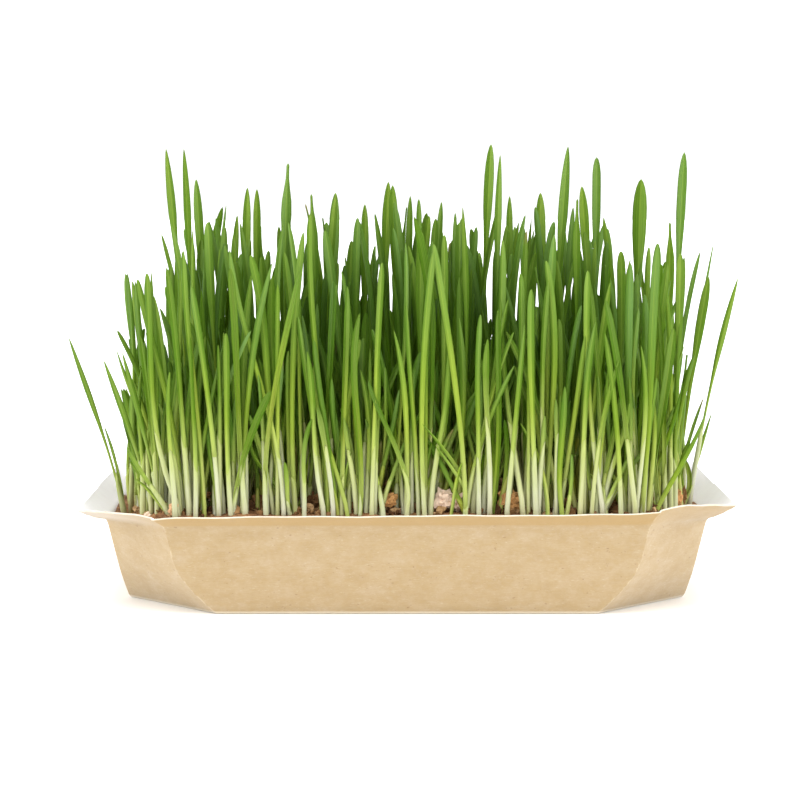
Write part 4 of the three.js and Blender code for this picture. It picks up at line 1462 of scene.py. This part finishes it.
# %% Cross-sections along a leaf
class Leaf:
    """The closed skin of one leaf, as points, and the numbers that its finish reads."""

    def __init__(self, shoot, width, sheath_top, open_half, fold, tip, turned, across_count, station_count):
        height = shoot.tip[2] - shoot.bottom
        form, stretch, end, broad, slimmer, curl = tip
        curl *= min(1.0, height / FULL_CURL)
        start = max(0.02, (sheath_top - 5.0 - shoot.bottom) / height)
        rises = leaf_stations(start, end, station_count)

        def place(rise):
            curled = np.maximum((rise - CURL_START) / (1 - CURL_START), 0) ** 2
            return shoot.centre(rise) + curl * curled[:, None] * CURL_WAY

        centres = place(rises)
        ahead = place(rises + RISE_STEP) - place(rises - RISE_STEP)
        ahead /= np.linalg.norm(ahead, axis=1, keepdims=True)
        angles = (shoot.facing + shoot.twist * rises) * TURN_SHARE + turned
        across = np.stack([np.cos(angles), np.sin(angles), np.zeros_like(angles)], axis=1)
        across -= ahead * (across * ahead).sum(axis=1, keepdims=True)
        across /= np.linalg.norm(across, axis=1, keepdims=True)
        facing = np.cross(ahead, across)
        above = (centres[:, 2] - sheath_top) / (centres[-1, 2] - sheath_top)
        opened = smooth_share((above - OPEN_FROM) / OPEN_OVER)
        closed_half = np.clip(width / STEM_ROLL, 1.5, 2.6)
        half = (closed_half + (open_half - closed_half) * opened)[:, None]
        bent = (fold * opened)[:, None]
        from_tip = (end - rises) * height
        reach = (width * tip_outline(from_tip, form, stretch, broad, slimmer) / 2)[:, None]
        spread = np.linspace(1, -1, across_count)[None, :]
        turn = bent + half * np.abs(spread)
        aside = np.sign(spread) * (np.sin(turn) - np.sin(bent)) * reach / half
        depth = (np.cos(turn) - np.cos(bent)) * reach / half
        depth = depth - depth.mean(axis=1, keepdims=True)
        turn = np.where(spread == 0, 0, turn) * np.sign(spread)
        thin_end = np.clip(from_tip / END_THIN, 0.25, 1)[:, None]
        thick = LEAF_THICK * (0.3 + 0.7 * np.sqrt(1 - (spread * 0.94) ** 2)) * thin_end
        thick = np.minimum(thick, reach / half * 0.8)

        def skin(offset):
            sideways = (aside + offset * np.sin(turn))[..., None] * across[:, None]
            outward = (depth + offset * np.cos(turn))[..., None] * facing[:, None]
            return centres[:, None] + sideways + outward

        rings = np.concatenate([skin(thick / 2), skin(-thick / 2)[:, ::-1]], axis=1)
        self.ring_size = 2 * across_count
        self.points = rings.reshape(-1, 3)
        self.across = np.tile(np.concatenate([spread[0], spread[0, ::-1]]), station_count)
        climbs = 1 + GREENER * (GREEN_REACH / max(centres[-1, 2] - FRONT_FOOT, 25.0) - 1)
        self.height = np.repeat(FRONT_FOOT + (centres[:, 2] - FRONT_FOOT) * max(climbs, 0.9), self.ring_size)
        self.from_tip = np.repeat(from_tip, self.ring_size)
        self.above = np.repeat(centres[:, 2] - sheath_top, self.ring_size)
        self.rings = station_count


# %% Faces between the cross-sections
def ring_faces(start, rings, size):
    """Quads between rings of equal size, closed at both ends."""
    ring, side = np.meshgrid(np.arange(rings - 1), np.arange(size), indexing="ij")
    low = start + ring * size
    after = (side + 1) % size
    quads = np.stack([low + side, low + after, low + size + after, low + size + side], axis=-1)
    faces = quads.reshape(-1, 4).tolist()
    half = size // 2
    for first, flip in ((start, True), (start + (rings - 1) * size, False)):
        for step in range(half - 1):
            cap = [first + step, first + step + 1, first + size - 2 - step, first + size - 1 - step]
            faces.append(cap[::-1] if flip else cap)
    return faces


print("two rings of 8 points are joined and closed by", len(ring_faces(0, 2, 8)), "faces")

# %% [markdown]
# ## The sheath
# A shoot is wrapped at its foot in a sheath, a thin tube whose mouth is cut at a slant where the leaf
# comes out. It could be a curve with a round bevel, but that ends square. So rings of points are set round
# the line of the shoot, narrower on the way up, and the upper ones are slanted more and more.

# %% The sheath round the foot of a shoot
SHEATH_ROWS = (0.0, 0.3, 0.6, 0.85, 1.0)            # shares of its height
SHEATH_SWELL = (1.12, 1.08, 1.03, 0.98, 0.93)       # its girth at each of them
SHEATH_LIFT = (0, 0, 0.2, 0.65, 1.0)                # how much of the mouth's slant each one has
SHEATH_FOOT = 29.0


def sheath_points(shoot, top, girth, slant, slant_turn, sides):
    """A pale tube from below the bed to a slanted mouth that hugs the rolled leaf."""
    height = shoot.tip[2] - shoot.bottom
    rises = (SHEATH_FOOT + (top - SHEATH_FOOT) * np.array(SHEATH_ROWS) - shoot.bottom) / height
    centres = shoot.centre(rises)
    ahead = shoot.centre(np.minimum(rises + 0.02, 1)) - shoot.centre(np.maximum(rises - 0.02, 0))
    ahead /= np.linalg.norm(ahead, axis=1, keepdims=True)
    sideways = np.stack([ahead[:, 2], np.zeros(len(rises)), -ahead[:, 0]], axis=1)
    sideways /= np.linalg.norm(sideways, axis=1, keepdims=True)
    inwards = 0.9 * np.cross(ahead, sideways)
    turns = np.arange(sides) * 2 * math.pi / sides
    radii = (girth * np.array(SHEATH_SWELL))[:, None, None]
    mouth = np.array(SHEATH_LIFT)[:, None] * slant * np.cos(turns - slant_turn)
    around_it = (np.cos(turns)[None, :, None] * sideways[:, None]
                 + np.sin(turns)[None, :, None] * inwards[:, None])
    return centres[:, None] + radii * around_it + mouth[..., None] * ahead[:, None]


print("a sheath has", len(SHEATH_ROWS), "rings of points")

# %% Draws for the looks of a shoot
look_draws = Draws(29)
VALUE_NAMES = ("height", "across", "from_tip", "above", "along", "shade", "tone", "shift", "pale", "dry",
               "side", "bloom_and_sheen")
BLADE_SHARE = 0.76                  # how broad a leaf is beside the plain blade that it stands for
OUTER_EDGE = 0.92                   # the shade sets in this far out, as a share of the way to the wall
OUTER_FADE = 0.26                   # and is full this much farther in


def turn_ridge():
    """Most leaves turn the ridge of their fold to the front, and one in five turns its hollow there."""
    return math.pi if look_draws.share() < 0.8 else 0.0


def pick(share, *choices):
    """The first choice whose limit is above share; choices are (limit, name) pairs."""
    return next(name for limit, name in choices if share < limit)


def inward_share(points):
    """0 along the outside of the grass and 1 a few rows of shoots farther in."""
    return smooth_share((OUTER_EDGE - inside_share(points[:, 0], points[:, 1])) / OUTER_FADE)


def painted_shade_share(points):
    """How much painted shade a point gets: 1 for what lies deep between the shoots and 0 at the tips and
    along the outside of the grass.
    """
    below_tops = smooth_share((skyline(points[:, 0]) - points[:, 2]) / 45)
    above_bed = smooth_share((points[:, 2] - 15) / 95)
    return inward_share(points) * (below_tops * above_bed)


print("most leaves are", BLADE_SHARE, "times as broad as the shoot was planned")


# %% One bunch of fine shoots
class Bunch:
    """Collects the leaves and sheaths of one bunch."""

    def __init__(self):
        self.points, self.faces, self.slots = [], [], []
        self.values = {key: [] for key in VALUE_NAMES}
        self.count = 0

    def add(self, points, faces, slot, values):
        self.points.append(points)
        self.faces += faces
        self.slots += [slot] * len(faces)
        for key in VALUE_NAMES:
            self.values[key].append(np.broadcast_to(values.get(key, 0.0), (len(points),)))
        self.count += len(points)

    def add_leaf(self, leaf, looks):
        faces = ring_faces(self.count, leaf.rings, leaf.ring_size)
        own = {"height": leaf.height, "across": leaf.across, "from_tip": leaf.from_tip, "above": leaf.above,
               "shade": painted_shade_share(leaf.points)}
        self.add(leaf.points, faces, 0, {**looks, **own})

    def add_sheath(self, shoot, top, girth, looks, sides):
        slant = look_draws.between(1.0, 4.5)
        slant_turn = look_draws.between(0, 2 * math.pi)
        points = sheath_points(shoot, top, girth, slant, slant_turn, sides).reshape(-1, 3)
        own = {"height": points[:, 2], "along": np.repeat(SHEATH_ROWS, sides), "shade": inward_share(points)}
        self.add(points, ring_faces(self.count, len(SHEATH_ROWS), sides), 1, {**looks, **own})

    def add_front(self, shoot, pale_top, tone):
        """A shoot of the front row, whose looks mostly follow from its entry."""
        looks = {"tone": tone, "shift": 26 - 34 * tone, "dry": 0.0}
        looks["pale"] = look_draws.between(0.5, 1.0) if pale_top else 0.0
        looks["side"] = look_draws.between(-1, 1)
        looks["bloom_and_sheen"] = look_draws.between(0, 0.7)
        top = pale_top or FRONT_FOOT - 4
        top = min(top, shoot.bottom + 0.7 * (shoot.tip[2] - shoot.bottom))
        form = pick(look_draws.share(), (0.6, "blunt"), (0.85, "oval"), (1.0, "slender"))
        tip = (form, look_draws.between(0.7, 1.0), 1.0, 30.0, 0.0, look_draws.between(-3, 3))
        open_half = look_draws.between(0.25, 0.7)
        fold = look_draws.between(0.15, 0.6)
        self.add_leaf(Leaf(shoot, shoot.width, top, open_half, fold, tip, turn_ridge(), 7, 18), looks)
        if pale_top:
            self.add_sheath(shoot, top, look_draws.between(0.72, 1.0), looks, 8)

    def add_shoot(self, shoot, fine):
        """fine is true for the solids' own shoots, whose leaves get more faces than the extra ones. A shoot
        that stands out brings the form of its tip with it."""
        looks = {"tone": look_draws.share(), "shift": look_draws.between(-16, 24)}
        looks["pale"] = 1.0 if look_draws.share() < 0.35 else look_draws.between(0, 0.6)
        looks["dry"] = 1.0 if look_draws.share() < 0.04 else 0.0
        looks["side"] = look_draws.between(0.35, 1.0) * (1 if look_draws.share() < 0.5 else -1)
        looks["bloom_and_sheen"] = look_draws.share() ** 1.5
        top = shoot.bottom + 5.0 + look_draws.between(10, 32)
        top = min(top, shoot.bottom + 0.42 * (shoot.tip[2] - shoot.bottom))
        form = pick(look_draws.share(), (0.55, "blunt"), (0.84, "oval"), (0.92, "slender"), (1.0, "necked"))
        width = shoot.width * BLADE_SHARE
        open_half = look_draws.between(0.25, 0.8)
        fold = look_draws.between(0.1, 0.6)
        end = look_draws.between(0.85, 1.0)
        slimmer = look_draws.between(0.1, 0.4)
        curl = look_draws.between(-6, 6)
        if shoot.form:
            form = shoot.form
            width = shoot.width
            end = 1.0
            curl *= 0.2
            open_half *= 0.5
            fold *= 0.4
            slimmer = look_draws.between(0.45, 0.62)
            looks["dry"] = 0.0
            looks["tone"] *= 0.6
        broad = look_draws.between(18, 34) * (0.75 if shoot.form else 1.0)
        fine = fine or bool(shoot.form)
        stretch = look_draws.between(0.75, 1.15) * (1.0 if fine else ROUNDER_TIP)
        tip = (form, stretch, end, broad, slimmer, curl)
        self.add_leaf(Leaf(shoot, width, top, open_half, fold, tip, turn_ridge(),
                           7 if fine else 5, 17 if fine else 12), looks)
        self.add_sheath(shoot, top, look_draws.between(0.7, 0.98), looks, 8 if fine else 6)
        if look_draws.share() < 0.22:
            self.add_second(shoot, top, looks)

    def add_second(self, shoot, top, looks):
        """A second, lower leaf from the same sheath."""
        rise = look_draws.between(0.5, 0.85)
        heading = look_draws.between(0, 2 * math.pi)
        reach = look_draws.between(3, 9)
        tip = (shoot.root[0] + (shoot.tip[0] - shoot.root[0]) * rise + reach * math.cos(heading),
               shoot.root[1] + (shoot.tip[1] - shoot.root[1]) * rise + reach * math.sin(heading),
               shoot.bottom + (shoot.tip[2] - shoot.bottom) * rise)
        second = Shoot(shoot.root, tip, shoot.width, shoot.facing + look_draws.between(-1, 1),
                       look_draws.between(-0.8, 0.8), 0.0, 1.6)
        tip = ("oval", look_draws.between(0.6, 1.0), 1.0, 20.0, 0.2, look_draws.between(-4, 4))
        width = shoot.width * look_draws.between(0.5, 0.68)
        open_half = look_draws.between(0.3, 0.9)
        fold = look_draws.between(0.1, 0.5)
        self.add_leaf(Leaf(second, width, top, open_half, fold, tip, turn_ridge(), 5, 11), looks)


print("each point of the grass holds", len(VALUE_NAMES), "numbers for its finish")


# %% [markdown]
# ## The finish of a leaf
# A leaf is bright because light passes through it: seen against the light it glows yellow-green, and where
# it is lit from in front it is a duller green with a waxy gloss, which is painted into the colour as a
# greyish sheen. So a Translucent shader takes a share beside the Principled one. The colour runs from
# nearly white at the foot through lime to full green, and each shoot has a tone of its own. Fine lines
# along the blade are its veins, drawn from the number that says how far across the leaf a point lies.

# %% Leaf finish
BED_TOP = 32.0
blade = Finish("leaf_blade", 0.46, 0.06)
climb = blade.grey(blade.maths("SUBTRACT", blade.attribute("height"), blade.attribute("shift")),
                   BED_TOP, BED_TOP + 120.0)
tone = blade.attribute("tone")
light_green = blade.ramp(
    climb, (0.0, srgb(200, 203, 122)), (0.16, srgb(189, 197, 88)), (0.33, srgb(165, 183, 72)),
    (0.5, srgb(137, 163, 66)), (0.68, srgb(133, 159, 69)), (1.0, srgb(146, 169, 74)))
deep_green = blade.ramp(
    climb, (0.0, srgb(168, 182, 70)), (0.16, srgb(122, 152, 12)), (0.33, srgb(76, 116, 2)),
    (0.5, srgb(48, 90, 0)), (0.68, srgb(44, 82, 2)), (1.0, srgb(56, 90, 4)))
leaf_colour = blade.mixed(tone, light_green, deep_green)
patchy = blade.noise(blade.place((1, 1, 0.25)), 160.0, 3.0)
leaf_colour = blade.tinted(leaf_colour, patchy, 0.35, 0.7, 0.4, srgb(70, 120, 4))
# Partly the real bluish bloom of some leaves and partly a painted sheen: the greyish reflection of the white
# surroundings, painted into the colour higher up the leaf.
bloom_and_sheen = blade.maths("MULTIPLY", blade.attribute("bloom_and_sheen"), blade.grey(climb, 0.35, 0.75, 0.0, 0.7))
leaf_colour = blade.mixed(bloom_and_sheen, leaf_colour, srgb(110, 146, 88))
across = blade.attribute("across")
shaded_half = blade.grey(blade.maths("MULTIPLY", across, blade.attribute("side")), -0.02, 0.2, 0.0, 0.58)
leaf_colour = blade.mixed(shaded_half, leaf_colour, srgb(56, 98, 0))
from_middle = blade.maths("ABSOLUTE", across, 0.0)
# A paler line along the fold: partly the real midrib and partly a painted highlight where the fold catches
# the light, strongest on light leaves.
midrib_and_highlight = blade.maths("MULTIPLY", blade.grey(from_middle, 0.0, 0.16, 0.28, 0.0),
                     blade.grey(tone, 0.2, 0.9, 1.0, 0.3))
leaf_colour = blade.mixed(midrib_and_highlight, leaf_colour, srgb(184, 206, 84))
# Painted shade: both edges of each blade are darkened, as where a blade curls away from the light beside the
# dark gaps.
leaf_colour = blade.tinted(leaf_colour, from_middle, 0.7, 1.0, 0.6, srgb(54, 96, 0))
veins = blade.grey(blade.maths("SINE", blade.maths("MULTIPLY", across, 19.0), 0.0), -1.0, 1.0)
leaf_colour = blade.mixed(blade.maths("MULTIPLY", veins, 0.17), leaf_colour, srgb(170, 204, 70))
fresh = blade.grey(blade.attribute("above"), -4.0, 16.0, 0.7, 0.0)
fresh = blade.maths("MULTIPLY", fresh, blade.grey(blade.attribute("pale"), 0.0, 1.0, 0.35, 1.0))
leaf_colour = blade.mixed(fresh, leaf_colour, srgb(196, 208, 120))
tip_share = blade.maths("MULTIPLY", blade.attribute("dry"),
                        blade.grey(blade.attribute("from_tip"), 1.0, 5.0, 0.8, 0.0))
leaf_colour = blade.mixed(tip_share, leaf_colour, srgb(150, 132, 84))
# Painted shade: deep between the shoots, below the tips, the leaves are darkened towards a deep green.
painted_shade = blade.maths("MULTIPLY", blade.attribute("shade"), 0.78)
painted_shade_colour = blade.mixed(tone, srgb(58, 98, 4), srgb(18, 46, 0))
painted_shade_colour = blade.mixed(blade.maths("MULTIPLY", shaded_half, 0.9), painted_shade_colour, srgb(22, 50, 0))
leaf_colour = blade.mixed(painted_shade, leaf_colour, painted_shade_colour)
blade.colour(leaf_colour)
blade.bump(veins, 0.05, 0.5)

through = blade.node("BsdfTranslucent")
blade.link(blade.mixed(0.45, leaf_colour, srgb(196, 220, 0)), through.inputs["Color"])
both = blade.node("MixShader")
both.inputs["Fac"].default_value = 0.34
blade.link(blade.shader.outputs["BSDF"], both.inputs[1])
blade.link(through.outputs["BSDF"], both.inputs[2])
blade.link(both.outputs["Shader"], blade.tree.nodes["Material Output"].inputs["Surface"])
print("a leaf's finish has", len(blade.tree.nodes), "nodes")

# %% [markdown]
# ## The finish of a sheath
# A sheath grows in the shade of its neighbours, so some are whitish from the foot up and others are
# yellow-green. It could be a paler copy of the leaf's finish, but that follows how far across a blade and
# how high a point lies, and a sheath changes colour along its own length. So two ramps of colour run
# along it, a whitish one and a greenish one, and a number stored for each shoot mixes them.

# %% Sheath finish
sheath = Finish("pale_sheath", 0.4, 0.35)
along = sheath.attribute("along")
whitish = sheath.ramp(
    along, (0.0, srgb(186, 179, 162)), (0.5, srgb(178, 179, 154)), (1.0, srgb(164, 172, 112)))
greenish = sheath.ramp(
    along, (0.0, srgb(174, 172, 104)), (0.4, srgb(163, 169, 60)), (0.75, srgb(150, 161, 34)),
    (1.0, srgb(140, 156, 24)))
sheath_colour = sheath.mixed(sheath.attribute("pale"), greenish, whitish)
sheath_lines = sheath.noise(sheath.place((1, 1, 0.08)), 1500.0, 2.0)
sheath_colour = sheath.tinted(sheath_colour, sheath_lines, 0.4, 0.7, 0.4, srgb(152, 162, 70))
sheath_colour = sheath.tinted(sheath_colour, sheath.attribute("tone"), 0.75, 1.0, 0.2, srgb(160, 142, 94))
# Painted shade: sheaths a few rows in from the outside of the grass are darkened towards olive.
sheath_colour = sheath.mixed(sheath.maths("MULTIPLY", sheath.attribute("shade"), 0.6),
                             sheath_colour, srgb(124, 118, 20))
sheath.colour(sheath_colour)
sheath.bump(sheath_lines, 0.04, 0.5)
print("a sheath's finish has", len(sheath.tree.nodes), "nodes")


# %% Make every bunch
def grass_piece(name, bunch):
    """One mesh of all the leaves and sheaths that a bunch has collected."""
    values = {key: np.concatenate(arrays) for key, arrays in bunch.values.items()}
    return add_piece(name, np.concatenate(bunch.points), bunch.faces, (blade.material, sheath.material),
                     bunch.slots, values)


for number, (own, more) in enumerate(zip(bunches, extras), start=1):
    bunch = Bunch()
    for shoot in own:
        bunch.add_shoot(shoot, True)
    for shoot in more:
        bunch.add_shoot(shoot, False)
    keep(grass_piece(f"grass_{number:02d}", bunch), "grass", f"bunch_{number:02d}")

front = Bunch()
for shoot, pale_top, tone in front_row:
    front.add_front(shoot, pale_top, tone)
keep(grass_piece("grass_front_row", front), "grass")

# %% [markdown]
# ## Last step
# The dressed model should be as large as the solids. Edges that wave and leaves that curl may make it
# differ from them by less than a millimetre.

# %% Bring the scene up to date
bpy.context.view_layer.update()
